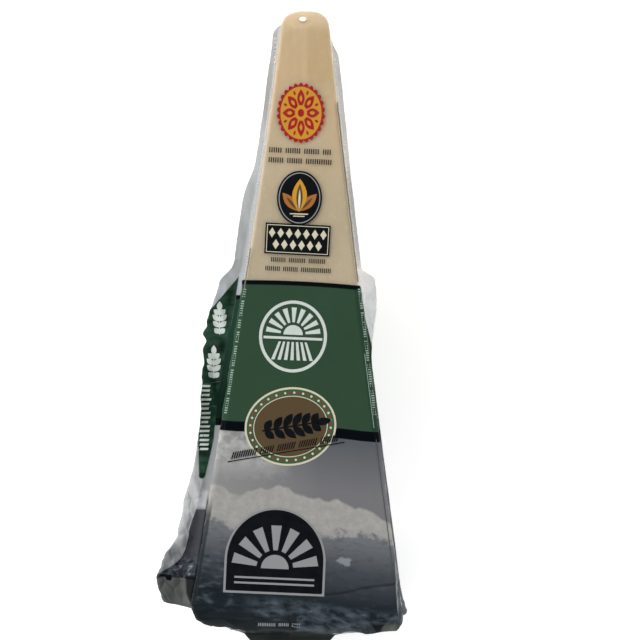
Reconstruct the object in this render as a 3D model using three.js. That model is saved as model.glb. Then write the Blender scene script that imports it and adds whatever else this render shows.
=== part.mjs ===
// A wedge of hard cheese, shrunk tight in a film bag, lying on its back.
// +Y runs from the rind end to the narrow tip, +Z is the shown front face, lengths are in millimetres.
import * as THREE from 'three';

// Driving dimensions of the wedge
const WEDGE_LENGTH = 217;
const TIP_WIDTH = 16.5;
const RIND_WIDTH = 75;
const DEPTH = 100;
const WIDENING_POWER = 1.1;
const AXIS_AT_TIP = 9.2;
const AXIS_AT_RIND = 6;
const LONG_EDGE_RADIUS = 4;
const NOSE_PLAN_RADIUS = 7;
const NOSE_PLAN_POWER = 2.5;
const NOSE_END_HALF_WIDTH = 1.4;
const NOSE_EDGE_RADIUS = 9;
const RIND_EDGE_RADIUS = 7;
const RIND_CORNER_RADIUS_LEFT = 8;
const RIND_CORNER_RADIUS_RIGHT = 3;
const RIND_BULGE = 1.5;
const RIND_SLANT = 0.02;
const RIND_SHAPE_START = 190;

// The film: side fins at one level all along, and the seal tab at the rind end on the same level
const FIN_LEVEL = 58;
const TENT_HALF_HEIGHT = 14;
const TENT_SHARE = 0.35;
const LEAST_REACH = 0.05;
const FIN_ROOT_HALF_THICKNESS = 0.8;
const FIN_TIP_HALF_THICKNESS = 0.4;
const FIN_WAVE_LENGTH = 58;
const FIN_WAVE_SLOPE = 0.16;
const TAB_ROOT = 221;
const TAB_END = 229.5;
const TAB_ROOT_HALF_WIDTH = 17;
const TAB_END_HALF_WIDTH = 8.5;
const TAB_AXIS_SHIFT = -2.8;
const TAB_HALF_THICKNESS = 0.6;

// How far each fin stands out from the wedge's wall: a chain of smooth steps,
// each from one distance behind the tip to another, with the change in reach
const LEFT_FIN_STEPS = [
  { name: 'nose', from: 0, to: 6, change: 2.9 },
  { name: 'neck', from: 50.5, to: 66, change: 2.6 },
  { name: 'upper ear', from: 89, to: 96, change: 4.1 },
  { name: 'upper ear crest', from: 96, to: 107, change: 2.3 },
  { name: 'waist', from: 120, to: 157, change: -2.85 },
  { name: 'lower swell', from: 166, to: 178, change: 1.4 },
  { name: 'lower ear', from: 185, to: 197, change: 4.3 },
  { name: 'lower ear crest', from: 197, to: 202, change: 0.8 },
  { name: 'lower ear fold', from: 202.5, to: 211, change: -3.6 },
  { name: 'lower ear end', from: 213.2, to: 216, change: -11.9 },
];
const RIGHT_FIN_STEPS = [
  { name: 'nose', from: 7.5, to: 15, change: 2.4 },
  { name: 'neck', from: 30, to: 70, change: -0.9 },
  { name: 'ear', from: 90.5, to: 94.5, change: 4.4 },
  { name: 'below the ear', from: 96, to: 122, change: -4.8 },
  { name: 'rind corner', from: 203, to: 211, change: 1.2 },
  { name: 'end', from: 213.5, to: 216.5, change: -2.3 },
];

// Counts of facets
const CORNER_STEPS = 4;
const TENT_STEPS = 3;
const FACE_STEPS = 4;
const STATION_STEP = 4.5;

function smoothStep(value, from, to) {
  const t = THREE.MathUtils.clamp((value - from) / (to - from), 0, 1);
  return t * t * (3 - 2 * t);
}

// The setback of a rounded edge at a distance from the end that it rounds
function edgeSetback(distance, radius) {
  const inside = 1 - THREE.MathUtils.clamp(distance / radius, 0, 1);
  return radius * (1 - Math.sqrt(1 - inside * inside));
}

function finReach(steps, distance) {
  return steps.reduce(
    (reach, step) => reach + step.change * smoothStep(distance, step.from, step.to),
    0,
  );
}

// Half the wedge's width on one side, with its round nose and round rind corner, then the tab
function halfWidth(distance, cornerRadius) {
  const share = Math.min(distance / WEDGE_LENGTH, 1);
  const full = (TIP_WIDTH + (RIND_WIDTH - TIP_WIDTH) * share ** WIDENING_POWER) / 2;
  if (distance < NOSE_PLAN_RADIUS) {
    const inside = 1 - distance / NOSE_PLAN_RADIUS;
    const round = (1 - inside ** NOSE_PLAN_POWER) ** (1 / NOSE_PLAN_POWER);
    return Math.max(full * round, NOSE_END_HALF_WIDTH);
  }
  const wall = full - edgeSetback(WEDGE_LENGTH - distance, cornerRadius);
  if (distance <= WEDGE_LENGTH) {
    return wall;
  }
  if (distance <= TAB_ROOT) {
    return THREE.MathUtils.lerp(
      wall, TAB_ROOT_HALF_WIDTH, (distance - WEDGE_LENGTH) / (TAB_ROOT - WEDGE_LENGTH),
    );
  }
  return THREE.MathUtils.lerp(
    TAB_ROOT_HALF_WIDTH, TAB_END_HALF_WIDTH, (distance - TAB_ROOT) / (TAB_END - TAB_ROOT),
  );
}

// Half the height of the section: the full depth, rounded at the nose and at the rind end,
// then the film that slopes down to the flat tab
function halfHeight(distance) {
  const nose = edgeSetback(distance, NOSE_EDGE_RADIUS);
  const rind = edgeSetback(WEDGE_LENGTH - distance, RIND_EDGE_RADIUS);
  const body = DEPTH / 2 - nose - rind;
  if (distance <= WEDGE_LENGTH) {
    return body;
  }
  const slope = Math.min((distance - WEDGE_LENGTH) / (TAB_ROOT - WEDGE_LENGTH), 1);
  return THREE.MathUtils.lerp(body, TAB_HALF_THICKNESS, slope ** 0.5);
}

// The level of the section's middle, which rises from the wedge's own to that of the tab
function middleLevel(distance) {
  const rise = THREE.MathUtils.clamp((distance - WEDGE_LENGTH) / (TAB_ROOT - WEDGE_LENGTH), 0, 1);
  return THREE.MathUtils.lerp(DEPTH / 2, FIN_LEVEL, rise);
}

// Half of a wall, from the flat face to the fin: the rounded corner, then the tent of film
function halfWallPoints(distance, width, reach, up) {
  const height = halfHeight(distance);
  const finOffset = FIN_LEVEL - middleLevel(distance);
  const corner = Math.min(LONG_EDGE_RADIUS, 0.8 * width, 0.28 * height);
  const tent = Math.min(TENT_HALF_HEIGHT, 0.6 * height);
  const root = Math.min(FIN_ROOT_HALF_THICKNESS, 0.3 * height);
  const points = [];
  for (let i = 0; i <= CORNER_STEPS; i += 1) {
    const angle = (Math.PI / 2) * (i / CORNER_STEPS);
    points.push([
      width - corner + corner * Math.sin(angle),
      up * (height - corner + corner * Math.cos(angle)),
    ]);
  }
  for (let i = 0; i <= TENT_STEPS; i += 1) {
    const rise = i / TENT_STEPS;
    points.push([
      width + TENT_SHARE * reach * rise * rise,
      finOffset + up * THREE.MathUtils.lerp(tent, root, rise),
    ]);
  }
  return points;
}

// One wall of the section, from the foot up, with the fin's wavy edge half way
function wallPoints(distance, side) {
  const width = halfWidth(distance, side.cornerRadius);
  const reach = Math.max(finReach(side.finSteps, distance), LEAST_REACH);
  const tip = Math.min(FIN_TIP_HALF_THICKNESS, 0.15 * halfHeight(distance));
  const wave = Math.sin((2 * Math.PI * distance) / FIN_WAVE_LENGTH + side.wavePhase);
  const level = FIN_LEVEL - middleLevel(distance) + FIN_WAVE_SLOPE * reach * wave;
  const lower = halfWallPoints(distance, width, reach, -1);
  const upper = halfWallPoints(distance, width, reach, 1).reverse();
  return [...lower, [width + reach, level - tip], [width + reach, level + tip], ...upper];
}

const RIGHT_SIDE = {
  finSteps: RIGHT_FIN_STEPS,
  cornerRadius: RIND_CORNER_RADIUS_RIGHT,
  wavePhase: 1,
};
const LEFT_SIDE = {
  finSteps: LEFT_FIN_STEPS,
  cornerRadius: RIND_CORNER_RADIUS_LEFT,
  wavePhase: -1,
};

// A closed section, anticlockwise as seen with the tip ahead and +X to the right
function sectionPoints(distance) {
  const height = halfHeight(distance);
  const right = wallPoints(distance, RIGHT_SIDE);
  const left = wallPoints(distance, LEFT_SIDE).map(([x, z]) => [-x, z]).reverse();
  const face = (from, to, level) => {
    const points = [];
    for (let i = 1; i < FACE_STEPS; i += 1) {
      points.push([THREE.MathUtils.lerp(from, to, i / FACE_STEPS), level]);
    }
    return points;
  };
  const top = face(right[right.length - 1][0], left[0][0], height);
  const foot = face(left[left.length - 1][0], right[0][0], -height);
  return [...right, ...top, ...left, ...foot];
}

// The section in place: set on the wedge's axis, with the rind end a little round and slanted
function placeSection(distance) {
  const share = Math.min(distance / WEDGE_LENGTH, 1);
  const tab = smoothStep(distance, WEDGE_LENGTH, TAB_ROOT);
  const axis = THREE.MathUtils.lerp(AXIS_AT_TIP, AXIS_AT_RIND, share) + TAB_AXIS_SHIFT * tab;
  const shaped = smoothStep(distance, RIND_SHAPE_START, WEDGE_LENGTH);
  const level = middleLevel(distance);
  return sectionPoints(distance).map(([x, z]) => {
    const across = THREE.MathUtils.clamp((2 * x) / RIND_WIDTH, -1, 1);
    const back = RIND_BULGE * (1 - across * across) + RIND_SLANT * x;
    return [x + axis, -distance - shaped * back, z + level];
  });
}

// Distances behind the tip at which the solid has a section: close together round both ends
function stationDistances() {
  const nose = [0, 0.5, 1.4, 2.8, 4.6, 7, 9];
  const rind = [206, 208.5, 211, 212, 213, 214, 215.2, 216.2, WEDGE_LENGTH];
  const tab = [217.5, 218.6, TAB_ROOT, 223.5, 226, 228.5, TAB_END];
  const wall = [];
  const steps = Math.round((rind[0] - nose[nose.length - 1]) / STATION_STEP);
  for (let i = 1; i < steps; i += 1) {
    wall.push(THREE.MathUtils.lerp(nose[nose.length - 1], rind[0], i / steps));
  }
  return [...nose, ...wall, ...rind, ...tab];
}

function packGeometry() {
  const sections = stationDistances().map(placeSection);
  const count = sections[0].length;
  const positions = sections.flat(2);
  const indices = [];
  for (let row = 0; row < sections.length - 1; row += 1) {
    for (let i = 0; i < count; i += 1) {
      const next = (i + 1) % count;
      const a = row * count + i;
      const b = row * count + next;
      const c = a + count;
      const d = b + count;
      indices.push(a, b, d, a, d, c);
    }
  }
  const addCap = (row, flipped) => {
    const section = sections[row];
    const middle = [0, 1, 2].map((k) => section.reduce((sum, p) => sum + p[k], 0) / count);
    const hub = positions.length / 3;
    positions.push(...middle);
    for (let i = 0; i < count; i += 1) {
      const a = row * count + i;
      const b = row * count + ((i + 1) % count);
      indices.push(...(flipped ? [hub, a, b] : [hub, b, a]));
    }
  };
  addCap(0, false);
  addCap(sections.length - 1, true);
  const geometry = new THREE.BufferGeometry();
  geometry.setAttribute('position', new THREE.Float32BufferAttribute(positions, 3));
  geometry.setIndex(indices);
  return geometry;
}

// The origin is the middle of the space that the pack lies in, on the surface under it
function centreOnFoot(geometry) {
  geometry.computeBoundingBox();
  const { min, max } = geometry.boundingBox;
  geometry.translate(-(min.x + max.x) / 2, -(min.y + max.y) / 2, -min.z);
  geometry.computeVertexNormals();
  return geometry;
}

const printedFilm = new THREE.MeshStandardMaterial({
  color: 0x2f4a35,
  roughness: 0.35,
  metalness: 0,
});

const pack = new THREE.Mesh(centreOnFoot(packGeometry()), printedFilm);
pack.name = 'wedge_pack';

const group = new THREE.Group();
group.add(pack);

export default group;
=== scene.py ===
"""A wedge of hard cheese shrunk tight in a printed film bag, lying on its back with the shown face up.

Lengths are in millimetres up to the moment a mesh is made. `along` is a distance behind the pack's tip,
`across` one from the shown face's middle line round the section, and `outward` one out along a fin.
"""

import logging
import math
from dataclasses import dataclass, field
from enum import Enum
from typing import Callable, Iterable, Sequence

import bmesh
import bpy
import numpy as np
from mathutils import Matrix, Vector

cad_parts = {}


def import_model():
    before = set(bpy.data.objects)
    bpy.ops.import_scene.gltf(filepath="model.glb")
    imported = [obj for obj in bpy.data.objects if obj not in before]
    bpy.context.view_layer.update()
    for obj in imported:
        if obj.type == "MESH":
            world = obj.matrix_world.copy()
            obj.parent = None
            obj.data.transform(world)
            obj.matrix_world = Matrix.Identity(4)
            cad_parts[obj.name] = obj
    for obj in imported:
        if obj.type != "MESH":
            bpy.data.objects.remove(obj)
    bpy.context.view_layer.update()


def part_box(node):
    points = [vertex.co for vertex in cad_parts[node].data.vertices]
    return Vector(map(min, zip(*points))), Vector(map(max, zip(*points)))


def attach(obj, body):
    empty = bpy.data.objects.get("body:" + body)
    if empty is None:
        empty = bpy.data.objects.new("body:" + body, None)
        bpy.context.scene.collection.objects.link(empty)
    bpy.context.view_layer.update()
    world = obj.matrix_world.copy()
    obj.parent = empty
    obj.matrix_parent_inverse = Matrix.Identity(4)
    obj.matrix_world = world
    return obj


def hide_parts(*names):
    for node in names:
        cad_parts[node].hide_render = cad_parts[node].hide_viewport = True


MM = 0.001
NODE = "wedge_pack"
BODY = "root"

# The photograph's frame: its side in pixels, the millimetres to a pixel at the shown face, the place
# under its middle, the heights of the shown face and of the camera over it, and the floor's gap.
PHOTO_PIXELS = 640
PIXEL_MM = 0.35
VIEW_CENTRE = (14.0, 6.35)
FACE_LEVEL = 100.0
CAMERA_HEIGHT = 1500.0
FLOOR_GAP = 0.1

log = logging.getLogger("wedge_pack")


class Side(Enum):
    """The two long sides of the pack, as its face is read."""

    LEFT = -1
    RIGHT = 1


def smooth_step(value: np.ndarray, start: float, end: float) -> np.ndarray:
    """Ease from 0 to 1.

    Args:
        value: The numbers to ease.
        start: Where the ease leaves 0.
        end: Where it reaches 1.

    Returns:
        The eased share for each number.
    """
    share = np.clip((value - start) / (end - start), 0.0, 1.0)
    return share * share * (3.0 - 2.0 * share)


def edge_setback(distance: np.ndarray, radius: float) -> np.ndarray:
    """Work out how far a rounded edge draws back.

    Args:
        distance: The distance from the end that the edge rounds.
        radius: The edge's radius.

    Returns:
        The setback from the full size.
    """
    inside = 1.0 - np.clip(distance / radius, 0.0, 1.0)
    return radius * (1.0 - np.sqrt(1.0 - inside * inside))


@dataclass(frozen=True)
class LatticeNoise:
    """Smooth seeded noise on a square lattice."""

    seed: int
    cells: int = 64

    def gradients(self) -> np.ndarray:
        """Return one unit direction for each lattice point."""
        angles = np.random.default_rng(self.seed).uniform(0, 2 * math.pi, (self.cells, self.cells))
        return np.stack([np.cos(angles), np.sin(angles)], axis=-1)

    def at(self, x: np.ndarray, y: np.ndarray) -> np.ndarray:
        """Sample the noise.

        Args:
            x: Places along the lattice's first side, in cells.
            y: Places along its second side, in cells.

        Returns:
            Values of about -1 to 1.
        """
        grid = self.gradients()
        x, y = np.broadcast_arrays(np.asarray(x, float), np.asarray(y, float))
        left, low = np.floor(x).astype(int), np.floor(y).astype(int)
        u, v = x - left, y - low
        fade_u, fade_v = u**3 * (u * (6 * u - 15) + 10), v**3 * (v * (6 * v - 15) + 10)

        def corner(i: int, j: int) -> np.ndarray:
            """Return the push of one lattice corner on every place."""
            g = grid[(left + i) % self.cells, (low + j) % self.cells]
            return g[..., 0] * (u - i) + g[..., 1] * (v - j)

        low_row = corner(0, 0) * (1 - fade_u) + corner(1, 0) * fade_u
        high_row = corner(0, 1) * (1 - fade_u) + corner(1, 1) * fade_u
        return 1.5 * (low_row * (1 - fade_v) + high_row * fade_v)

    def creased(self, x: np.ndarray, y: np.ndarray) -> np.ndarray:
        """Return sharp ridges from 0 to 1, where the noise crosses zero."""
        return (1.0 - np.minimum(np.abs(self.at(x, y)) * 1.6, 1.0)) ** 2


@dataclass(frozen=True)
class CrumpleFacets:
    """Flat facets that meet in sharp creases, as film crumpled by hand has them."""

    seed: int
    size: float
    tilt: float = 0.55
    cells: int = 40

    def at(self, x: np.ndarray, y: np.ndarray) -> np.ndarray:
        """Sample the facets.

        Args:
            x: Places along the film, in millimetres.
            y: Places across the film, in millimetres.

        Returns:
            Heights in shares of a facet's size, with a mean near 0.
        """
        rng = np.random.default_rng(self.seed)
        jitter = rng.uniform(0.1, 0.9, (self.cells, self.cells, 2))
        slope = rng.uniform(-self.tilt, self.tilt, (self.cells, self.cells, 2))
        u, v = np.asarray(x, float) / self.size, np.asarray(y, float) / self.size
        column, row = np.floor(u).astype(int), np.floor(v).astype(int)
        best = np.full(np.shape(u), 1e9)
        for i in (-1, 0, 1):
            for j in (-1, 0, 1):
                key = (column + i) % self.cells, (row + j) % self.cells
                du = u - (column + i + jitter[key][..., 0])
                dv = v - (row + j + jitter[key][..., 1])
                plane = slope[key][..., 0] * du + slope[key][..., 1] * dv
                best = np.minimum(best, np.sqrt(du * du + dv * dv + 0.01) + plane)
        return best - 0.45


@dataclass(frozen=True)
class ReachStep:
    """One smooth change in how far a fin stands out from the wall."""

    start: float
    end: float
    change: float


@dataclass(frozen=True)
class SideForm:
    """What differs between the pack's two long sides."""

    side: Side
    steps: tuple[ReachStep, ...]
    corner_radius: float
    wave_phase: float

    def reach(self, along: np.ndarray) -> np.ndarray:
        """Return how far the fin stands out from the wall at each distance."""
        total = np.zeros_like(np.asarray(along, float))
        for step in self.steps:
            total = total + step.change * smooth_step(along, step.start, step.end)
        return np.maximum(total, 0.05)


LEFT_FORM = SideForm(
    side=Side.LEFT,
    steps=(
        ReachStep(0, 6, 2.9),
        ReachStep(50.5, 66, 2.6),
        ReachStep(89, 96, 4.1),
        ReachStep(96, 107, 1.6),
        ReachStep(120, 150, -2.65),
        ReachStep(160, 178, 1.9),
        ReachStep(185, 197, 4.3),
        ReachStep(197, 202, 0.8),
        ReachStep(202.5, 211, -3.6),
        ReachStep(212.3, 215.2, -11.9),
    ),
    corner_radius=8.0,
    wave_phase=-1.0,
)
RIGHT_FORM = SideForm(
    side=Side.RIGHT,
    steps=(
        ReachStep(7.5, 15, 2.4),
        ReachStep(30, 70, -0.4),
        ReachStep(90.5, 94.5, 4.4),
        ReachStep(98, 126, -5.0),
        ReachStep(205, 213, 1.0),
        ReachStep(213.4, 217, -2.1),
    ),
    corner_radius=4.5,
    wave_phase=1.0,
)


@dataclass(frozen=True)
class PackForm:
    """The pack's outer form: a wedge with round edges, a fin down each side and a seal tab."""

    length: float = 217.0
    tip_width: float = 16.5
    rind_width: float = 75.0
    depth: float = 100.0
    widening: float = 1.1
    axis_at_tip: float = 9.2
    axis_at_rind: float = 6.0
    long_edge: float = 1.7
    nose_plan_radius: float = 7.0
    nose_plan_power: float = 2.5
    nose_end_half_width: float = 1.4
    nose_edge: float = 9.0
    rind_edge: float = 7.0
    rind_bulge: float = 1.5
    rind_slant: float = 0.02
    rind_left_rise: float = 1.2
    rind_shape_start: float = 190.0
    fin_level: float = 58.0
    tent_half_height: float = 9.0
    tent_share: float = 0.35
    root_half_thickness: float = 0.8
    tip_half_thickness: float = 0.4
    wave_length: float = 58.0
    wave_slope: float = 0.16
    tab_root: float = 221.0
    tab_end: float = 229.5
    tab_root_half_width: float = 16.2
    tab_end_half_width: float = 8.5
    tab_axis_shift: float = -2.8
    tab_half_thickness: float = 0.6

    def half_width(self, along: np.ndarray, corner_radius: float) -> np.ndarray:
        """Work out half the wedge's width on one side, then the tab's.

        Args:
            along: Distances behind the tip.
            corner_radius: The plan radius of that side's rind corner.

        Returns:
            The half width at each distance.
        """
        share = np.minimum(along / self.length, 1.0)
        full = (self.tip_width + (self.rind_width - self.tip_width) * share**self.widening) / 2
        inside = 1.0 - np.clip(along / self.nose_plan_radius, 0.0, 1.0)
        round_nose = (1.0 - inside**self.nose_plan_power) ** (1.0 / self.nose_plan_power)
        wall = full - edge_setback(self.length - along, corner_radius)
        wall = np.maximum(wall * round_nose, self.nose_end_half_width)
        slope = np.clip((along - self.length) / (self.tab_root - self.length), 0.0, 1.0)
        taper = np.clip((along - self.tab_root) / (self.tab_end - self.tab_root), 0.0, 1.0)
        tab = self.tab_root_half_width + (self.tab_end_half_width - self.tab_root_half_width) * taper
        return wall + (tab - wall) * slope

    def half_height(self, along: np.ndarray) -> np.ndarray:
        """Return half the height of the section at each distance."""
        nose = edge_setback(along, self.nose_edge)
        rind = edge_setback(self.length - along, self.rind_edge)
        body = self.depth / 2 - nose - rind
        slope = np.clip((along - self.length) / (self.tab_root - self.length), 0.0, 1.0)
        return body + (self.tab_half_thickness - body) * slope**0.5

    def middle(self, along: np.ndarray) -> np.ndarray:
        """Return the level of the section's middle at each distance."""
        rise = np.clip((along - self.length) / (self.tab_root - self.length), 0.0, 1.0)
        return self.depth / 2 + (self.fin_level - self.depth / 2) * rise

    def axis(self, along: np.ndarray) -> np.ndarray:
        """Return the wedge's middle line at each distance, before the pack is centred."""
        share = np.minimum(along / self.length, 1.0)
        tab = smooth_step(along, self.length, self.tab_root)
        wedge = self.axis_at_tip + (self.axis_at_rind - self.axis_at_tip) * share
        return wedge + self.tab_axis_shift * tab

    def pushed_back(self, along: np.ndarray, x: np.ndarray) -> np.ndarray:
        """Work out where each point lies behind the tip, with the rind end round and slanted.

        Args:
            along: The distance of each point's section.
            x: How far each point is from the middle line.

        Returns:
            The distance behind the tip of each point.
        """
        shaped = smooth_step(along, self.rind_shape_start, self.length)
        across = np.clip(2 * x / self.rind_width, -1.0, 1.0)
        left = self.rind_left_rise * smooth_step(-x, 14, 34)
        return along + shaped * (self.rind_bulge * (1 - across * across) + self.rind_slant * x - left)


@dataclass(frozen=True)
class SectionSteps:
    """How many steps each stretch of half a section has, from the front's middle to the back's."""

    front: int = 40
    corner: int = 7
    wall: int = 12
    tent: int = 9
    fin: int = 9
    low_tent: int = 6
    low_wall: int = 5
    low_corner: int = 4
    back: int = 10


@dataclass
class SheetGrid:
    """A closed loft as a grid: one row for each section, one column for each place round it."""

    points: np.ndarray
    along: np.ndarray
    across: np.ndarray
    outward: np.ndarray
    zones: np.ndarray

    def normals(self) -> np.ndarray:
        """Return a unit direction out of the surface at each point."""
        down = np.gradient(self.points, axis=0)
        wrapped = np.concatenate([self.points[:, -1:], self.points, self.points[:, :1]], axis=1)
        round_ = (wrapped[:, 2:] - wrapped[:, :-2]) / 2
        normal = np.cross(down, round_)
        size = np.linalg.norm(normal, axis=2, keepdims=True)
        return normal / np.maximum(size, 1e-9)


class Zone(Enum):
    """The stretches of a section, which the film's relief tells apart."""

    FRONT = 0
    CORNER = 1
    WALL = 2
    TENT = 3
    FIN = 4
    LOW_TENT = 5
    LOW_WALL = 6
    BACK = 7


@dataclass
class PackLoft:
    """Makes the grid of the whole film surface, or of the cheese alone, from the pack's form."""

    form: PackForm
    steps: SectionSteps = field(default_factory=SectionSteps)
    centre: tuple[float, float] = (0.0, 0.0)

    def half_section(self, along: float, side: SideForm, fins: bool) -> tuple[np.ndarray, ...]:
        """Draw one half of a section, from the front's middle round to the back's.

        Args:
            along: The section's distance behind the tip.
            side: Which side it is, with its fin.
            fins: False leaves out the tents and the fin, for what is inside the film.

        Returns:
            The x and z of the points, how far each is out along the fin, and its zone.
        """
        form, n = self.form, self.steps
        s = np.array([along])
        width = float(form.half_width(s, side.corner_radius)[0])
        height = float(form.half_height(s)[0])
        level = form.fin_level - float(form.middle(s)[0])
        reach = float(side.reach(s)[0]) if fins else 0.05
        corner = min(form.long_edge, 0.8 * width, 0.28 * height)
        tent = min(form.tent_half_height, 0.6 * height)
        root = min(form.root_half_thickness, 0.3 * height)
        tip = min(form.tip_half_thickness, 0.15 * height)
        tented = form.tent_share * reach
        phase = 2 * math.pi * along / form.wave_length + side.wave_phase
        wave = form.wave_slope * reach * math.sin(phase)

        def run(count: int, last: bool = False) -> np.ndarray:
            """Return shares from 0 towards 1, with the last one kept if asked."""
            return np.linspace(0, 1, count + 1)[: None if last else -1]

        xs, zs, outs, zones = [], [], [], []

        def add(x: np.ndarray, z: np.ndarray, out: np.ndarray, zone: Zone) -> None:
            """Add one stretch of points."""
            xs.append(x)
            zs.append(z)
            outs.append(out)
            zones.append(np.full(len(x), zone.value))

        t = run(n.front)
        add((width - corner) * t, np.full(len(t), height), 0 * t, Zone.FRONT)
        t = run(n.corner) * math.pi / 2
        rounded = height - corner + corner * np.cos(t)
        add(width - corner + corner * np.sin(t), rounded, 0 * t, Zone.CORNER)
        t = run(n.wall)
        top = height - corner
        add(np.full(len(t), width), top + (level + tent - top) * t, 0 * t, Zone.WALL)
        t = run(n.tent)
        add(width + tented * t**3, level + tent + (root - tent) * t, tented * t**3, Zone.TENT)
        t = run(n.fin, True)
        flat = tented + (reach - tented) * t
        bent = level + wave * t**1.5
        add(width + flat, bent + root + (tip - root) * t, flat, Zone.FIN)
        add((width + flat)[::-1], (bent - root - (tip - root) * t)[::-1], flat[::-1], Zone.FIN)
        t = run(n.low_tent, True)[1:]
        low = 1 - t
        add(width + tented * low**3, level - root - (tent - root) * t, tented * low**3, Zone.LOW_TENT)
        t = run(n.low_wall, True)[1:]
        foot = corner - height
        add(np.full(len(t), width), level - tent + (foot - level + tent) * t, 0 * t, Zone.LOW_WALL)
        t = run(n.low_corner, True)[1:] * math.pi / 2
        add(width - corner + corner * np.cos(t), foot - corner * np.sin(t), 0 * t, Zone.LOW_WALL)
        t = run(n.back, True)[1:]
        add((width - corner) * (1 - t), np.full(len(t), -height), 0 * t, Zone.BACK)
        return tuple(np.concatenate(part) for part in (xs, zs, outs, zones))

    def grid(self, stations: Sequence[float], fins: bool = True) -> SheetGrid:
        """Loft the sections.

        Args:
            stations: The distances behind the tip that get a section.
            fins: Whether the film's fins and tents are there.

        Returns:
            The closed grid, in the pack's own frame.
        """
        rows, along, across, outward, zones = [], [], [], [], []
        for station in stations:
            halves = []
            for side in (RIGHT_FORM, LEFT_FORM):
                x, z, out, zone = self.half_section(station, side, fins)
                unrolled = np.concatenate([[0.0], np.cumsum(np.hypot(np.diff(x), np.diff(z)))])
                unrolled = np.minimum(unrolled, unrolled[-1] - unrolled)
                sign = side.side.value
                halves.append((sign * x, z, sign * unrolled, out, zone))
            right, left = halves
            joined = [np.concatenate([r, l[-2:0:-1]]) for r, l in zip(right, left)]
            x, z, spread, out, zone = joined
            s = np.full(len(x), station)
            y = -self.form.pushed_back(s, x)
            x = x + self.form.axis(s)
            z = z + self.form.middle(s)
            rows.append(np.stack([x - self.centre[0], y - self.centre[1], z], axis=1))
            along.append(s)
            across.append(spread)
            outward.append(out)
            zones.append(zone)
        return SheetGrid(*(np.array(part) for part in (rows, along, across, outward, zones)))

    def set_centre(self, low: Vector, high: Vector) -> None:
        """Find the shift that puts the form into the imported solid's box.

        Args:
            low: The lowest corner of that box, in metres.
            high: Its highest corner.
        """
        grid = self.grid(np.linspace(0, self.form.tab_end, 160))
        flat = grid.points.reshape(-1, 3)
        middle = (flat.min(axis=0) + flat.max(axis=0)) / 2
        target = (np.array(low) + np.array(high)) / 2 / MM
        self.centre = (middle[0] - target[0], middle[1] - target[1])


def film_stations(form: PackForm) -> np.ndarray:
    """Return the film's sections: even down the wall and close together round both ends."""
    nose = form.nose_edge * (1 - np.cos(np.linspace(0, math.pi / 2, 22)))
    start = form.length - form.rind_edge - 6
    wall = np.linspace(form.nose_edge, start, 262)[1:]
    rind = np.linspace(start, form.length, 30)[1:]
    slope = form.length + (form.tab_root - form.length) * np.linspace(0, 1, 14)[1:] ** 1.7
    tab = np.linspace(form.tab_root, form.tab_end, 14)[1:]
    return np.concatenate([nose, wall, rind, slope, tab])


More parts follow.
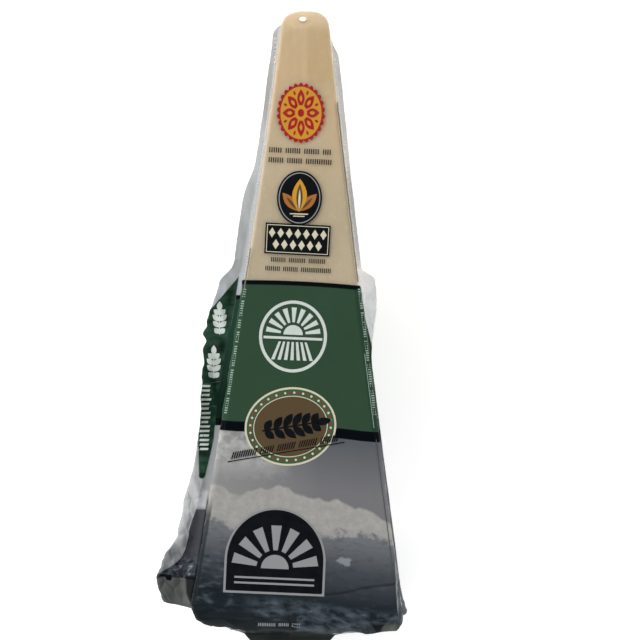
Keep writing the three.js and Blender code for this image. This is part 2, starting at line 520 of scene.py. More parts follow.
@dataclass
class FilmRelief:
    """The wrinkles, folds and crumples of the shrunk film."""

    form: PackForm
    front_swell: float = 0.2
    ridge_height: float = 0.5
    pucker: float = 0.2
    wall_fold: float = 0.55
    fin_crumple: float = 1.5
    ear_crumple: float = 2.6
    end_crumple: float = 0.85
    crease_at: float = 206.1
    crease_depth: float = 0.32
    end_rise: tuple[float, float] = (203.0, 216.0)
    ear_rise: tuple[float, float] = (187.0, 196.0)
    ear_calm: tuple[float, float] = (200.5, 203.0)
    ruffle_rise: tuple[float, float] = (106.0, 112.0)
    ruffle_fade: tuple[float, float] = (128.0, 134.0)

    def apply(self, grid: SheetGrid) -> SheetGrid:
        """Move the grid's points by the relief.

        Args:
            grid: The plain film surface.

        Returns:
            The wrinkled surface.
        """
        s, a, out, zone = grid.along, grid.across, grid.outward, grid.zones
        normal = grid.normals()
        front = zone == Zone.FRONT.value
        corner = zone == Zone.CORNER.value
        wall = np.isin(zone, (Zone.WALL.value, Zone.LOW_WALL.value))
        loose = np.isin(zone, (Zone.TENT.value, Zone.FIN.value, Zone.LOW_TENT.value))
        tab = smooth_step(s, self.form.length + 0.5, self.form.tab_root)
        lift = np.zeros_like(s)
        lift += (front | corner) * self.front_field(s, a) * (1 - tab)
        lift += wall * self.wall_field(s, a) * (1 - tab)
        over_end = smooth_step(s, *self.end_rise) * (1 - tab)
        lift += over_end * self.end_field(s, a) * (zone != Zone.BACK.value)
        sloping = smooth_step(s, self.form.length - 1.5, self.form.length + 1.0) * (1 - tab)
        lift += sloping * 1.1 * LatticeNoise(31).creased(a / 7.0, s / 30.0)
        points = grid.points + normal * lift[..., None]

        root_in = smooth_step(out, 0.0, 2.0) * loose
        side = np.sign(a)
        rise = self.fin_field(s, out, side) * root_in
        rise += tab * 1.2 * LatticeNoise(47).at(grid.points[..., 0] / 9.0, s / 14.0)
        points[..., 2] += rise
        points[..., 0] += side * root_in * self.fin_edge_field(s, out, side)
        points[..., 2] = np.maximum(points[..., 2], grid.points[..., 2].min())
        keep = zone == Zone.BACK.value
        points[keep] = grid.points[keep]
        return SheetGrid(points, s, a, out, zone)

    def front_field(self, s: np.ndarray, a: np.ndarray) -> np.ndarray:
        """Work out the shown face's relief.

        Args:
            s: Distances behind the tip.
            a: Distances across from the face's middle line.

        Returns:
            Heights above the flat face.
        """
        half = self.form.half_width(s, self.form.long_edge)
        to_edge = np.maximum(half - np.abs(a), 0.0)
        swell = self.front_swell * LatticeNoise(3).at(a / 26.0 + 4, s / 38.0)
        swell = swell + 0.1 * LatticeNoise(5).at(a / 9.0, s / 21.0)
        near = np.exp(-to_edge / 2.6)
        puckers = self.pucker * LatticeNoise(7).creased(s / 4.2 + 0.25 * a, a / 11.0) * near
        from_ridge = np.abs(a - 0.6 - 0.02 * s)
        ridge = (self.ridge_height - 0.07 * np.minimum(from_ridge, 8.0)) * (1 - smooth_step(s, 22, 40))
        ridge = ridge * smooth_step(s, 3, 12)
        line = self.crease_at - 0.137 * a + 0.6 * LatticeNoise(11).at(a / 9.0, 0.5)
        right = np.exp(-(((s - line) / 0.55) ** 2)) * smooth_step(a, 3, 10)
        line = 200.6 + 0.003 * (a + 32.0) ** 2
        left = np.exp(-(((s - line) / 0.7) ** 2)) * smooth_step(-a, 25.5, 28.5)
        return swell + puckers + ridge - self.crease_depth * (right + 0.8 * left) + 0.25

    def wall_field(self, s: np.ndarray, a: np.ndarray) -> np.ndarray:
        """Return the folds of the film down both long sides, which run aslant."""
        slant = s + 0.55 * np.abs(a)
        long = self.wall_fold * LatticeNoise(13).creased(slant / 13.0, a / 30.0)
        short = 0.3 * LatticeNoise(17).creased(slant / 5.0 + 7, a / 17.0)
        return long + short

    def end_field(self, s: np.ndarray, a: np.ndarray) -> np.ndarray:
        """Return the crumple of the film where it turns over the rind end."""
        wave = LatticeNoise(19).at(a / 15.0, 3.5) * 2.5
        facets = CrumpleFacets(23, 4.6).at(s + 0.12 * a + wave, a * 0.42)
        fine = LatticeNoise(29).creased((s + wave) / 3.4, a / 15.0)
        return self.end_crumple * (1.1 * facets + 0.55 * fine)

    def fin_field(self, s: np.ndarray, out: np.ndarray, side: np.ndarray) -> np.ndarray:
        """Work out how a fin is bent up and down.

        Args:
            s: Distances behind the tip.
            out: Distances out from the wall.
            side: The sign of the side.

        Returns:
            Changes of level, which both faces of the fin share.
        """
        slant = s + 1.3 * out
        facets = CrumpleFacets(37, 9.0).at(slant + 50 * side, out * 1.5 + 3)
        ripples = LatticeNoise(41).at(slant / 6.5 + 9 * side, out / 14.0)
        ear = smooth_step(s, *self.ear_rise)
        ear_facets = CrumpleFacets(43, 5.5, 0.8).at(s, out * 1.2)
        grip = np.clip(out / 6.0, 0.0, 1.3)
        crumple = self.fin_crumple * (0.9 * facets + 0.45 * ripples) * grip
        calm = 1 - 0.6 * smooth_step(s, *self.ear_calm)
        folded = ear * calm * self.ear_crumple * ear_facets
        return crumple * (1 - ear) + folded * np.clip(out / 4.0, 0.0, 1.2)

    def fin_edge_field(self, s: np.ndarray, out: np.ndarray, side: np.ndarray) -> np.ndarray:
        """Return how far a fin's edge strays from its smooth line."""
        stray = LatticeNoise(53).at(s / 7.0 + 13 * side, 0.5) + 0.5 * LatticeNoise(59).at(s / 2.6, 0.5)
        fade = 1 - smooth_step(s, *self.ruffle_fade)
        ruffled = (side < 0) * smooth_step(s, *self.ruffle_rise) * fade
        return out * (0.05 * stray + ruffled * (0.04 + 0.1 * LatticeNoise(67).at(s / 2.9, 0.5)))


def add_object(name: str, data: bpy.types.ID) -> bpy.types.Object:
    """Make an object of some data and put it into the scene."""
    made = bpy.data.objects.new(name, data)
    bpy.context.scene.collection.objects.link(made)
    return made


def mesh_from_grid(name: str, grid: SheetGrid) -> bpy.types.Object:
    """Make a closed mesh from a grid, with a cap at each end.

    Args:
        name: The piece's name.
        grid: Its points.

    Returns:
        The new object, with the grid's distances as attributes of its mesh.
    """
    rows, columns = grid.along.shape
    ends = [grid.points[0].mean(axis=0), grid.points[-1].mean(axis=0)]
    vertices = np.concatenate([grid.points.reshape(-1, 3), ends]) * MM
    index = np.arange(rows * columns).reshape(rows, columns)
    after = np.roll(index, -1, axis=1)
    quads = np.stack([index[:-1], index[1:], after[1:], after[:-1]], axis=-1).reshape(-1, 4)
    hub = rows * columns
    first = [(hub, int(i), int(j)) for i, j in zip(index[0], after[0])]
    last = [(hub + 1, int(j), int(i)) for i, j in zip(index[-1], after[-1])]
    mesh = bpy.data.meshes.new(name)
    mesh.from_pydata(vertices.tolist(), [], quads.tolist() + first + last)
    for key in ("along", "across", "outward"):
        values = getattr(grid, key)
        layer = mesh.attributes.new(key, "FLOAT", "POINT")
        tail = [float(values[0].mean()), float(values[-1].mean())]
        layer.data.foreach_set("value", np.concatenate([values.ravel(), tail]))
    mesh.polygons.foreach_set("use_smooth", [True] * len(mesh.polygons))
    mesh.update()
    return add_object(name, mesh)


def linear(hex_colour: str) -> tuple[float, float, float, float]:
    """Turn a colour written as six hexadecimal digits into linear light."""
    levels = [int(hex_colour[i : i + 2], 16) / 255 for i in (0, 2, 4)]
    bright = [v / 12.92 if v <= 0.04045 else ((v + 0.055) / 1.055) ** 2.4 for v in levels]
    return (*bright, 1.0)


class Signal:
    """A number that varies over a surface, with Python's arithmetic."""

    def __init__(self, sheet: "ShaderSheet", socket: bpy.types.NodeSocket) -> None:
        """Wrap an output socket of a sheet."""
        self.sheet = sheet
        self.socket = socket

    def math(self, operation: str, *others: "Signal | float") -> "Signal":
        """Add one Math node that takes this signal first.

        Args:
            operation: The node's operation.
            others: The values after this one.

        Returns:
            The node's result.
        """
        return self.sheet.math(operation, self, *others)

    def __add__(self, other: "Signal | float") -> "Signal":
        """Add."""
        return self.math("ADD", other)

    __radd__ = __add__

    def __sub__(self, other: "Signal | float") -> "Signal":
        """Subtract."""
        return self.math("SUBTRACT", other)

    def __rsub__(self, other: float) -> "Signal":
        """Subtract this signal from a number."""
        return self.sheet.math("SUBTRACT", other, self)

    def __mul__(self, other: "Signal | float") -> "Signal":
        """Multiply."""
        return self.math("MULTIPLY", other)

    __rmul__ = __mul__

    def __truediv__(self, other: "Signal | float") -> "Signal":
        """Divide."""
        return self.math("DIVIDE", other)

    def __pow__(self, other: "Signal | float") -> "Signal":
        """Raise to a power."""
        return self.math("POWER", other)

    def __abs__(self) -> "Signal":
        """Drop the sign."""
        return self.math("ABSOLUTE")

    def above(self, edge: "Signal | float", soft: float = 0.2) -> "Signal":
        """Return a mask of where this signal is over an edge, eased over the soft width."""
        return self.sheet.clamp((self - edge) / soft + 0.5)

    def below(self, edge: "Signal | float", soft: float = 0.2) -> "Signal":
        """Return a mask of where this signal is under an edge."""
        return 1 - self.above(edge, soft)

    def between(self, low: "Signal | float", high: "Signal | float", soft: float = 0.2) -> "Signal":
        """Return a mask of where this signal lies between two edges."""
        return self.above(low, soft) * self.below(high, soft)

    def ramp(self, start: float, gain: float) -> "Signal":
        """Return a rise that leaves 0 at a value, kept between 0 and 1."""
        return self.sheet.clamp((self - start) * gain)

    def fall(self, end: float, gain: float) -> "Signal":
        """Return a fall that reaches 0 at a value, kept between 0 and 1."""
        return self.sheet.clamp((end - self) * gain)

    def spread(self, start: float, width: float) -> "Signal":
        """Return a rise from 0 to 1 that takes a width, kept between them."""
        return self.sheet.clamp((self - start) / width)

    def at_least(self, lowest: float) -> "Signal":
        """Return this signal, but never under a value."""
        return self.math("MAXIMUM", lowest)


class ShaderSheet:
    """The node tree of a material or of the world, with one way to add any node."""

    def __init__(self, owner: bpy.types.Material | bpy.types.World, output: str) -> None:
        """Empty the owner's tree and give it an output node of the named type."""
        owner.use_nodes = True
        self.owner = owner
        self.tree = owner.node_tree
        self.tree.nodes.clear()
        self.output = self.tree.nodes.new(output)

    @classmethod
    def for_material(cls, name: str) -> "ShaderSheet":
        """Start a new material."""
        return cls(bpy.data.materials.new(name), "ShaderNodeOutputMaterial")

    @classmethod
    def for_world(cls, name: str) -> "ShaderSheet":
        """Start a new world and make it the scene's."""
        world = bpy.data.worlds.new(name)
        bpy.context.scene.world = world
        return cls(world, "ShaderNodeOutputWorld")

    def node(
        self, kind: str, settings: dict | None = None, sockets: dict | None = None
    ) -> bpy.types.Node:
        """Add a node.

        Args:
            kind: The node's type.
            settings: Its own settings, set first.
            sockets: A value, signal or output socket for each input, by name or place.

        Returns:
            The node.
        """
        node = self.tree.nodes.new(kind)
        for key, value in (settings or {}).items():
            setattr(node, key, value)
        for key, value in (sockets or {}).items():
            if isinstance(value, Signal):
                value = value.socket
            if isinstance(value, bpy.types.NodeSocket):
                self.tree.links.new(value, node.inputs[key])
            else:
                node.inputs[key].default_value = value
        return node

    def math(self, operation: str, *values: Signal | float) -> Signal:
        """Add a Math node and return its result."""
        node = self.node("ShaderNodeMath", {"operation": operation}, dict(enumerate(values)))
        return Signal(self, node.outputs[0])

    def clamp(self, value: Signal) -> Signal:
        """Keep a signal between 0 and 1."""
        node = self.node("ShaderNodeClamp", None, {"Value": value})
        return Signal(self, node.outputs[0])

    def attribute(self, name: str) -> Signal:
        """Read one of the mesh's own numbers."""
        node = self.node("ShaderNodeAttribute", {"attribute_name": name})
        return Signal(self, node.outputs["Fac"])

    def place(self) -> bpy.types.NodeSocket:
        """Return the place on the object, in metres."""
        return self.node("ShaderNodeTexCoord").outputs["Object"]

    def axes(self, vector: bpy.types.NodeSocket) -> tuple[Signal, Signal, Signal]:
        """Split a vector into its three numbers."""
        node = self.node("ShaderNodeSeparateXYZ", None, {0: vector})
        return tuple(Signal(self, out) for out in node.outputs)

    def vector(
        self, x: Signal | float, y: Signal | float, z: Signal | float = 0.0
    ) -> bpy.types.NodeSocket:
        """Join three numbers into a vector."""
        return self.node("ShaderNodeCombineXYZ", None, {0: x, 1: y, 2: z}).outputs[0]

    def noise(
        self, vector: bpy.types.NodeSocket, scale: float, detail: float = 3.0, rough: float = 0.5
    ) -> Signal:
        """Add smooth noise of about 0.2 to 0.8.

        Args:
            vector: Where it is sampled.
            scale: How fine it is.
            detail: How many finer layers it has.
            rough: How strong those are.

        Returns:
            The noise.
        """
        sockets = {"Vector": vector, "Scale": scale, "Detail": detail, "Roughness": rough}
        return Signal(self, self.node("ShaderNodeTexNoise", None, sockets).outputs[0])

    def cells(self, vector: bpy.types.NodeSocket, scale: float) -> Signal:
        """Return the distance to the nearest edge between crumple cells."""
        settings = {"feature": "DISTANCE_TO_EDGE"}
        node = self.node("ShaderNodeTexVoronoi", settings, {"Vector": vector, "Scale": scale})
        return Signal(self, node.outputs["Distance"])

    def mix(self, share: Signal | float, first: object, second: object) -> bpy.types.NodeSocket:
        """Mix two colours.

        Args:
            share: How much of the second one shows.
            first: A colour in six hexadecimal digits or in linear light, or a socket.
            second: Another one.

        Returns:
            The mixed colour.
        """
        first, second = (linear(part) if isinstance(part, str) else part for part in (first, second))
        sockets = {0: share, 6: first, 7: second}
        return self.node("ShaderNodeMix", {"data_type": "RGBA"}, sockets).outputs[2]

    def bump(self, height: Signal, strength: float, distance: float) -> bpy.types.NodeSocket:
        """Turn a height into a normal; the distance is in metres."""
        sockets = {"Strength": strength, "Distance": distance, "Height": height}
        return self.node("ShaderNodeBump", None, sockets).outputs[0]

    def principled(self, sockets: dict) -> bpy.types.NodeSocket:
        """Add a Principled shader from inputs named with underscores and return its output."""
        named = {key.replace("_", " "): value for key, value in sockets.items()}
        return self.node("ShaderNodeBsdfPrincipled", None, named).outputs[0]

    def surface(self, dull: Signal | None = None, **sockets: object) -> bpy.types.Material:
        """Finish with a Principled shader.

        Args:
            dull: How much of the surface's gloss is taken away, if any.
            sockets: The shader's inputs, with underscores for the spaces in their names.

        Returns:
            The finished material.
        """
        shader = self.principled(sockets)
        if dull is not None:
            glossless = {"Specular_IOR_Level": 0.0, "Coat_Weight": 0.0, "Roughness": 1.0}
            matt = self.principled({**sockets, **glossless})
            shader = self.node("ShaderNodeMixShader", None, {0: dull, 1: shader, 2: matt}).outputs[0]
        self.tree.links.new(shader, self.output.inputs[0])
        return self.owner


@dataclass(frozen=True)
class LandPrint:
    """The greys of the printed land, from the sky down to the dark ground, and where each starts, with
    the painted highlights, sheen and shade of the crumpled film on the ground.
    """

    sky_top: str = "575B60"
    sky_foot: str = "737376"
    haze: str = "8A8A8A"
    cloud: str = "B9B9B7"
    snow_shade: str = "999794"
    snow_light: str = "A9A7A2"
    slope: str = "6C6F73"
    foot: str = "454A50"
    ground: str = "1D252A"
    dark_streak: str = "1D2328"
    pale_streak: str = "4E565F"
    rumple_highlight: str = "6E7780"
    rumple_shade: str = "12161A"
    crinkle_sheen: str = "566069"
    dark_fleck: str = "12171B"
    crinkle_glint: str = "99A1A6"
    glare_patch: str = "989DA3"
    sky_start: float = 150.0
    snow_line: float = 170.9
    tree_line: float = 183.0
    foot_start: float = 185.0
    ground_start: float = 195.0
    glare_patch_at: tuple[float, float] = (16.9, 192.2)


@dataclass(frozen=True)
class FilmFinish:
    """The printed film: clear at the tip, a green field between dark stripes, then grey land."""

    green: str = "344D3A"
    green_worn: str = "2E4534"
    shaded_side_green: str = "1E382D"
    deeper_side_shade: str = "0C2018"
    stripe: str = "05090E"
    silver: str = "BDBEBF"
    clear: str = "A6ADB3"
    tab: str = "323835"
    tight: str = "D8D4C8"
    side_grey: str = "8B8D8E"
    side_glint: str = "B4B3B9"
    side_dark: str = "44464C"
    ear_dark: str = "1C2228"
    ear_mid: str = "5E646D"
    ear_highlight: str = "B4B7BD"
    ear_foot: str = "545857"
    ear_foot_light: str = "70746F"
    gutter_shade: str = "14181A"
    fold_shade: str = "0C1215"
    margin_shade: str = "22392C"
    bend_shade: str = "0B1014"
    rim_dark: str = "474B4E"
    rim_mid: str = "7D8285"
    rim_highlight: str = "B4B8B8"
    rim_glint: str = "BFC3C3"
    right_fin: str = "5F6467"
    olive_dark: str = "353934"
    olive_light: str = "666A64"
    pinch: str = "06080A"
    end_dark: str = "161C1F"
    end_light: str = "363E43"
    flap_dark: str = "12251D"
    flap_light: str = "2A4A37"
    flap_bend_highlight: str = "7F9C8D"
    silver_foot: str = "8C9093"
    seam: str = "C9CCCF"
    glint_spot: str = "FFFFFF"
    shoulder_shade: str = "1B2023"
    land: LandPrint = LandPrint()
    upper_stripe: float = 97.05
    upper_half: float = 0.8
    lower_stripe: float = 148.1
    lower_half: float = 1.75
    flap_start: float = 93.5
    side_start: float = 100.2
    side_end: float = 147.0
    side_dark_start: float = 177.6
    ear_start: float = 194.9
    fold_level: float = 202.3
    crease_at: float = 206.1
    turned_start: float = 216.7
    tab_start: float = 219.6

    def lean(self, sheet: ShaderSheet) -> tuple[Signal, Signal, Signal, Signal]:
        """Read the film's own coordinates.

        Args:
            sheet: The material under way.

        Returns:
            Distances along the leaning print, behind the tip, across, and out along a fin.
        """
        along = sheet.attribute("along")
        across = sheet.attribute("across")
        held = across.at_least(-32.0).math("MINIMUM", 32.0)
        tilt = 0.049 + (along - self.upper_stripe) * 0.00056
        bow = (1 - sheet.clamp(abs(held / 22.0)) ** 2.0) * 0.6
        return along - tilt * held + bow, along, across, sheet.attribute("outward")

    def hills(self, sheet: ShaderSheet, printed: Signal, across: Signal) -> bpy.types.NodeSocket:
        """Paint the grey land: sky, clouds, a pale range and dark ground, with painted highlights,
        sheen and shade of crumpled film on the ground.

        Args:
            sheet: The material under way.
            printed: Distance along the leaning print.
            across: Distance across the film.

        Returns:
            The colour.
        """
        land = self.land
        fine = sheet.noise(sheet.vector(across * 0.01, printed * 0.01), 34.0, 5.0, 0.6)
        streak = sheet.noise(sheet.vector(across * 0.012, printed * 0.035), 15.0, 5.0, 0.62)
        ridge = sheet.noise(sheet.vector(across * 0.01, 3.0), 6.0, 3.0, 0.5)
        sky = sheet.mix(printed.spread(land.sky_start, 18.0), land.sky_top, land.sky_foot)
        sky = sheet.mix(across.below(-10.0, 34.0), sky, land.haze)
        puff = (fine - 0.5) * 15.0
        cloud = (printed + puff).between(151.5, 164.0, 6.0) * (across + puff).between(-31.0, -6.0, 9.0)
        cloud = cloud * (0.3 + fine.ramp(0.44, 6.0) * 0.42)
        sky = sheet.mix(cloud, sky, land.cloud)
        slope = (across - 12.0).at_least(0.0) * 0.3
        snow = printed.above(land.snow_line + (ridge - 0.5) * 15.0 + slope, 0.9)
        colour = sheet.mix(snow, sky, sheet.mix(fine.ramp(0.4, 3.0), land.snow_shade, land.snow_light))
        trees = (printed + (fine - 0.5) * 13.0 + (ridge - 0.5) * -16.0).above(land.tree_line, 2.4)
        ground = sheet.mix(printed.spread(land.foot_start, 10.0), land.slope, land.foot)
        ground = sheet.mix(printed.spread(land.ground_start, 12.0), ground, land.ground)
        ground = sheet.mix(streak.ramp(0.5, 4.0) * 0.4, ground, land.dark_streak)
        ground = sheet.mix(streak.fall(0.44, 5.0) * 0.4, ground, land.pale_streak)
        veins = sheet.noise(sheet.vector(across * 0.012, printed * 0.026), 17.0, 4.0, 0.55)
        # Painted highlights and shade of the crumpled film near the left fold.
        rumple = across.below(-21.0, 6.0) * printed.between(193.0, 214.0, 4.0)
        ground = sheet.mix(rumple * veins.ramp(0.5, 5.0) * 0.4, ground, land.rumple_highlight)
        ground = sheet.mix(rumple * veins.fall(0.46, 6.0) * 0.5, ground, land.rumple_shade)
        # Painted sheen and glints of the crinkled film near the rind end, with dark flecks.
        crinkle_zone = printed.between(207.5, 217.0, 2.5) * across.above(-15.0, 9.0)
        ground = sheet.mix(crinkle_zone * veins.ramp(0.38, 3.6) * 0.8, ground, land.crinkle_sheen)
        ground = sheet.mix(crinkle_zone * fine.fall(0.41, 8.0) * 0.45, ground, land.dark_fleck)
        glint_noise = sheet.noise(sheet.vector(across * 0.02, printed * 0.06, 5.0), 24.0, 2.0, 0.5)
        ground = sheet.mix(crinkle_zone * glint_noise.ramp(0.67, 10.0) * 0.5, ground, land.crinkle_glint)
        # Painted highlight: a pale patch of glare on the film over the dark ground.
        patch_across, patch_along = land.glare_patch_at
        sideways = (across + puff * 0.5 - patch_across) / 2.9
        endways = (printed + puff * 0.3 - patch_along) / 1.3
        spread = sideways**2.0 + endways**2.0
        ground = sheet.mix(spread.below(1.0, 0.9) * 0.6, ground, land.glare_patch)
        return sheet.mix(trees, colour, ground)

    def side_strip(
        self, sheet: ShaderSheet, along: Signal, out: Signal, worn: Signal
    ) -> bpy.types.NodeSocket:
        """Paint the left side's film, from the fold to the crumpled ear.

        Args:
            sheet: The material under way.
            along: Distance behind the tip.
            out: Distance out along the fin.
            worn: A cloudy noise.

        Returns:
            The colour.
        """
        # Painted shade: the strip between the fold and the fin gets the print's green darkened, more so
        # further down.
        green = sheet.mix(along.spread(112.0, 28.0), self.shaded_side_green, self.deeper_side_shade)
        colour = sheet.mix(along.above(self.side_end, 0.3), green, self.side_grey)
        marks = along.between(self.side_start, self.side_start + 1.5, 0.3)
        marks = marks + along.between(self.side_end - 2.6, self.side_end, 0.3)
        colour = sheet.mix(marks, colour, self.stripe)
        glint = along.between(170.5, 176.5, 1.5) * out.between(1.8, 6.0, 1.0) * worn.ramp(0.3, 3.0)
        colour = sheet.mix(glint, colour, self.side_glint)
        darker = (along + (worn - 0.5) * 3.0).above(self.side_dark_start, 0.8)
        colour = sheet.mix(darker, colour, self.side_dark)
        crumpled = sheet.noise(sheet.vector(along * 0.05 - out * 0.02, out * 0.05, 2.0), 7.0, 3.0, 0.6)
        ear = sheet.mix(crumpled.ramp(0.36, 3.4), self.ear_dark, self.ear_mid)
        # Painted highlights on the crumpled ear.
        ear = sheet.mix(crumpled.ramp(0.6, 9.0) * 0.9, ear, self.ear_highlight)
        colour = sheet.mix(along.above(self.ear_start, 1.6), colour, ear)
        low = sheet.mix(worn.ramp(0.32, 2.4), self.ear_foot, self.ear_foot_light)
        colour = sheet.mix(along.above(self.fold_level + 0.6, 0.5), colour, low)
        # Painted shade in the gutter beside the wall.
        gutter_shade = out.below(1.8, 0.8) * along.above(173.0, 3.0)
        colour = sheet.mix(gutter_shade * 0.9, colour, self.gutter_shade)
        # Painted shade: a dark line along the ear's fold, heavier where it crumples, and a dark wedge
        # in the crease below it.
        torn = (crumpled - 0.5) * 2.6
        heavy = (out + torn).between(10.0, 14.3, 0.6)
        deep = heavy * out.below(12.0, 1.0)
        fold_shade = along - self.fold_level - (out - 9.0) * -0.12 - heavy * 0.1 - deep * 0.6
        fold_shade = abs(fold_shade).below(0.2 + heavy * 0.3 + deep * 0.65, 0.4)
        fold_shade = fold_shade * (0.45 + heavy * 0.55) * out.below(14.5, 0.8)
        crease_shade = (out + (along - self.fold_level) * 0.27).below(5.2, 0.9)
        crease_shade = crease_shade * along.above(self.fold_level - 0.6, 1.0)
        return sheet.mix(sheet.clamp(fold_shade + crease_shade * 0.9), colour, self.fold_shade)

    def material(self) -> bpy.types.Material:
        """Build the film's material."""
        sheet = ShaderSheet.for_material("printed_film")
        printed, along, across, out = self.lean(sheet)
        place = sheet.place()
        worn = sheet.noise(place, 55.0, 4.0, 0.55)
        level = sheet.axes(place)[2] / MM
        left = across.below(0.0, 0.1)
        on_fin = out.above(0.04, 0.04)
        left_fin = left * on_fin

        # The green field, with painted shade along its right margin, and two stripes.
        green = sheet.mix(sheet.clamp(worn * 1.2 - 0.1), self.green, self.green_worn)
        field_ = printed.below(self.lower_stripe, 0.15)
        colour = sheet.mix(field_, self.hills(sheet, printed, across), green)
        margin_shade = across - 20.3 - (along - 97.0) * 0.14
        margin_shade = margin_shade.above(-2.0, 0.8) * margin_shade.below(2.5, 3.0) * field_
        colour = sheet.mix(margin_shade * 0.6, colour, self.margin_shade)
        stripes = ((self.upper_stripe, self.upper_half), (self.lower_stripe, self.lower_half))
        upper, lower = (printed.between(middle - half, middle + half, 0.18) for middle, half in stripes)
        colour = sheet.mix(upper + lower, colour, self.stripe)
        # Painted shade: a dark line in the crease near the rind end.
        bend_shade = along - self.crease_at + across * 0.137 + (worn - 0.5) * 3.0
        bend_shade_mask = abs(bend_shade).below(0.3, 0.8) * across.above(5.0, 5.0) * level.above(96.0, 2.0)
        colour = sheet.mix(bend_shade_mask * 0.6, colour, self.bend_shade)
        # The rim along the right edge, grey with streaks, painted highlights and glints; the olive
        # patch and the pinched film at the right corner of the rind end.
        stray = (worn - 0.5) * 5.0
        seat = along.between(189.0, 214.5, 2.0)
        at_top = level.above(88.0, 4.0)
        edge = across.between(33.8 + (along - 195.0) * 0.1 + stray * 0.2, 41.0, 0.4) * at_top
        streak_noise = sheet.noise(sheet.vector(across * 0.09, along * 0.014, 1.0), 6.0, 3.0, 0.5)
        rim = sheet.mix(streak_noise.ramp(0.38, 4.0), self.rim_dark, self.rim_mid)
        rim = sheet.mix(streak_noise.ramp(0.56, 9.0) * 0.7, rim, self.rim_highlight)
        glints = streak_noise.ramp(0.5, 9.0) * along.above(207.0, 4.0)
        rim = sheet.mix(glints * 0.8, rim, self.rim_glint)
        colour = sheet.mix(edge * seat, colour, rim)
        colour = sheet.mix((1 - left) * on_fin * seat, colour, self.right_fin)
        patch = across.between(30.0 + stray, 41.0, 1.2) * (along + stray * 0.8).above(214.6, 1.0)
        olive = sheet.mix(streak_noise.ramp(0.3, 2.4), self.olive_dark, self.olive_light)
        colour = sheet.mix(patch, colour, olive)
        narrow = (217.2 - along).at_least(0.0) * 0.75 + 0.35
        beside = abs(across + stray * 0.4 - 28.6).below(narrow, 0.7)
        pinch = beside * (along + stray * 0.4).above(214.2, 1.4)
        colour = sheet.mix(pinch * at_top * 0.9, colour, self.pinch)
        # The film turned over the rind end, the seal tab and the left side.
        turned = sheet.noise(sheet.vector(across * 0.03, level * 0.016, 4.0), 3.2, 4.0, 0.55)
        end = sheet.mix(turned.ramp(0.35, 3.0), self.end_dark, self.end_light)
        over_end = along.above(self.turned_start, 0.5) * (1 - patch * level.above(80.0, 10.0))
        colour = sheet.mix(over_end, colour, end)
        colour = sheet.mix(along.above(self.tab_start, 0.8), colour, self.tab)
        colour = sheet.mix(left_fin, colour, self.side_strip(sheet, along, out, worn))

        # The strip beside the left wall and the flap folded over it.
        bulge = sheet.clamp(1 - ((along - 131.0) / 21.0) ** 2.0) * 1.05
        inner = 2.8 + bulge
        late = (along - 191.5).at_least(0.0)
        silver_edge = 4.7 + (along - 167.0) * 0.075 + late * late * 0.09
        silver_edge = silver_edge + along.between(178.0, 196.0, 6.0) * 0.5
        share = along.spread(150.0, 12.0)
        strip_edge = inner * (1 - share) + silver_edge * share
        strip = out.below(strip_edge, 0.35) * along.above(self.side_start, 0.3)
        flap = out.above(inner, 0.3) * (along - (out - 2.85) * 1.43).above(self.flap_start, 0.4)
        drop = (along - 151.0).at_least(0.0)
        flap = flap * out.between(2.7 + drop * 0.08, 8.6 - (along - 151.0) * 0.17, 0.4)
        flap = flap * (along + ((out - 5.0) / 1.4) ** 2.0 * 1.2).below(166.3, 0.5)
        wrinkled = sheet.noise(sheet.vector(along * 0.05, out * 0.012, 7.0), 6.0, 3.0, 0.55)
        green = sheet.mix(wrinkled.ramp(0.36, 3.4), self.flap_dark, self.flap_light)
        # Painted highlights: two faint pale lines across the flap where it bends.
        bend_highlights = abs(along - 131.6 - (out - 6.0) * 0.16).below(0.1, 0.3)
        bend_highlights = bend_highlights + abs(along - 140.2).below(0.08, 0.25)
        green = sheet.mix(sheet.clamp(bend_highlights) * worn.ramp(0.3, 3.0) * 0.4, green, self.flap_bend_highlight)
        colour = sheet.mix(left * flap, colour, green)

        # Where the film is inked.
        face_ink = printed.above(self.upper_stripe - self.upper_half, 0.18)
        left_ink = sheet.clamp(strip + flap)
        right_edge = (1.0 + (along - 108.0) * 0.12).at_least(0.8)
        right_ink = face_ink * out.below(right_edge, 0.3)
        fin_ink = left * left_ink + (1 - left) * right_ink
        inked = face_ink + (fin_ink - face_ink) * on_fin

        # The film without ink: tight on the cheese, clear in the fins, silver beside the land.
        silver = left_fin * along.above(146.0, 5.0)
        seam = silver * abs(out - silver_edge - 0.1).below(0.22, 0.15)
        seam = seam * along.between(168.5, 197.0, 1.5)
        veil = sheet.mix(on_fin, self.tight, self.clear)
        tone = sheet.mix(along.above(189.0, 6.0) * 0.8, self.silver, self.silver_foot)
        veil = sheet.mix(silver, veil, tone)
        colour = sheet.mix(seam, colour, self.seam)
        # Painted highlight: a small white glint on the film at the round nose.
        glint_spot = ((across + 0.9) / 1.2) ** 2.0 + ((along - 3.9) / 0.8) ** 2.0
        glint_dot = glint_spot.below(1.0, 0.5) * level.above(50.0, 5.0)
        colour = sheet.mix(glint_dot, sheet.mix(inked, veil, colour), self.glint_spot)
        thin = (1 - left) * (along.above(89.0, 5.0) * 0.2 + 0.05) + along.below(62.0, 30.0) * 0.08
        thin = thin - left * (1 - silver) * 0.09
        cloudy = (worn - 0.5) * (0.2 + (1 - left) * thin * 1.6)
        clear_alpha = 0.12 + on_fin * (0.47 - thin) + silver * 0.3 + cloudy
        alpha = sheet.clamp(inked + (1 - inked) * clear_alpha + glint_dot)

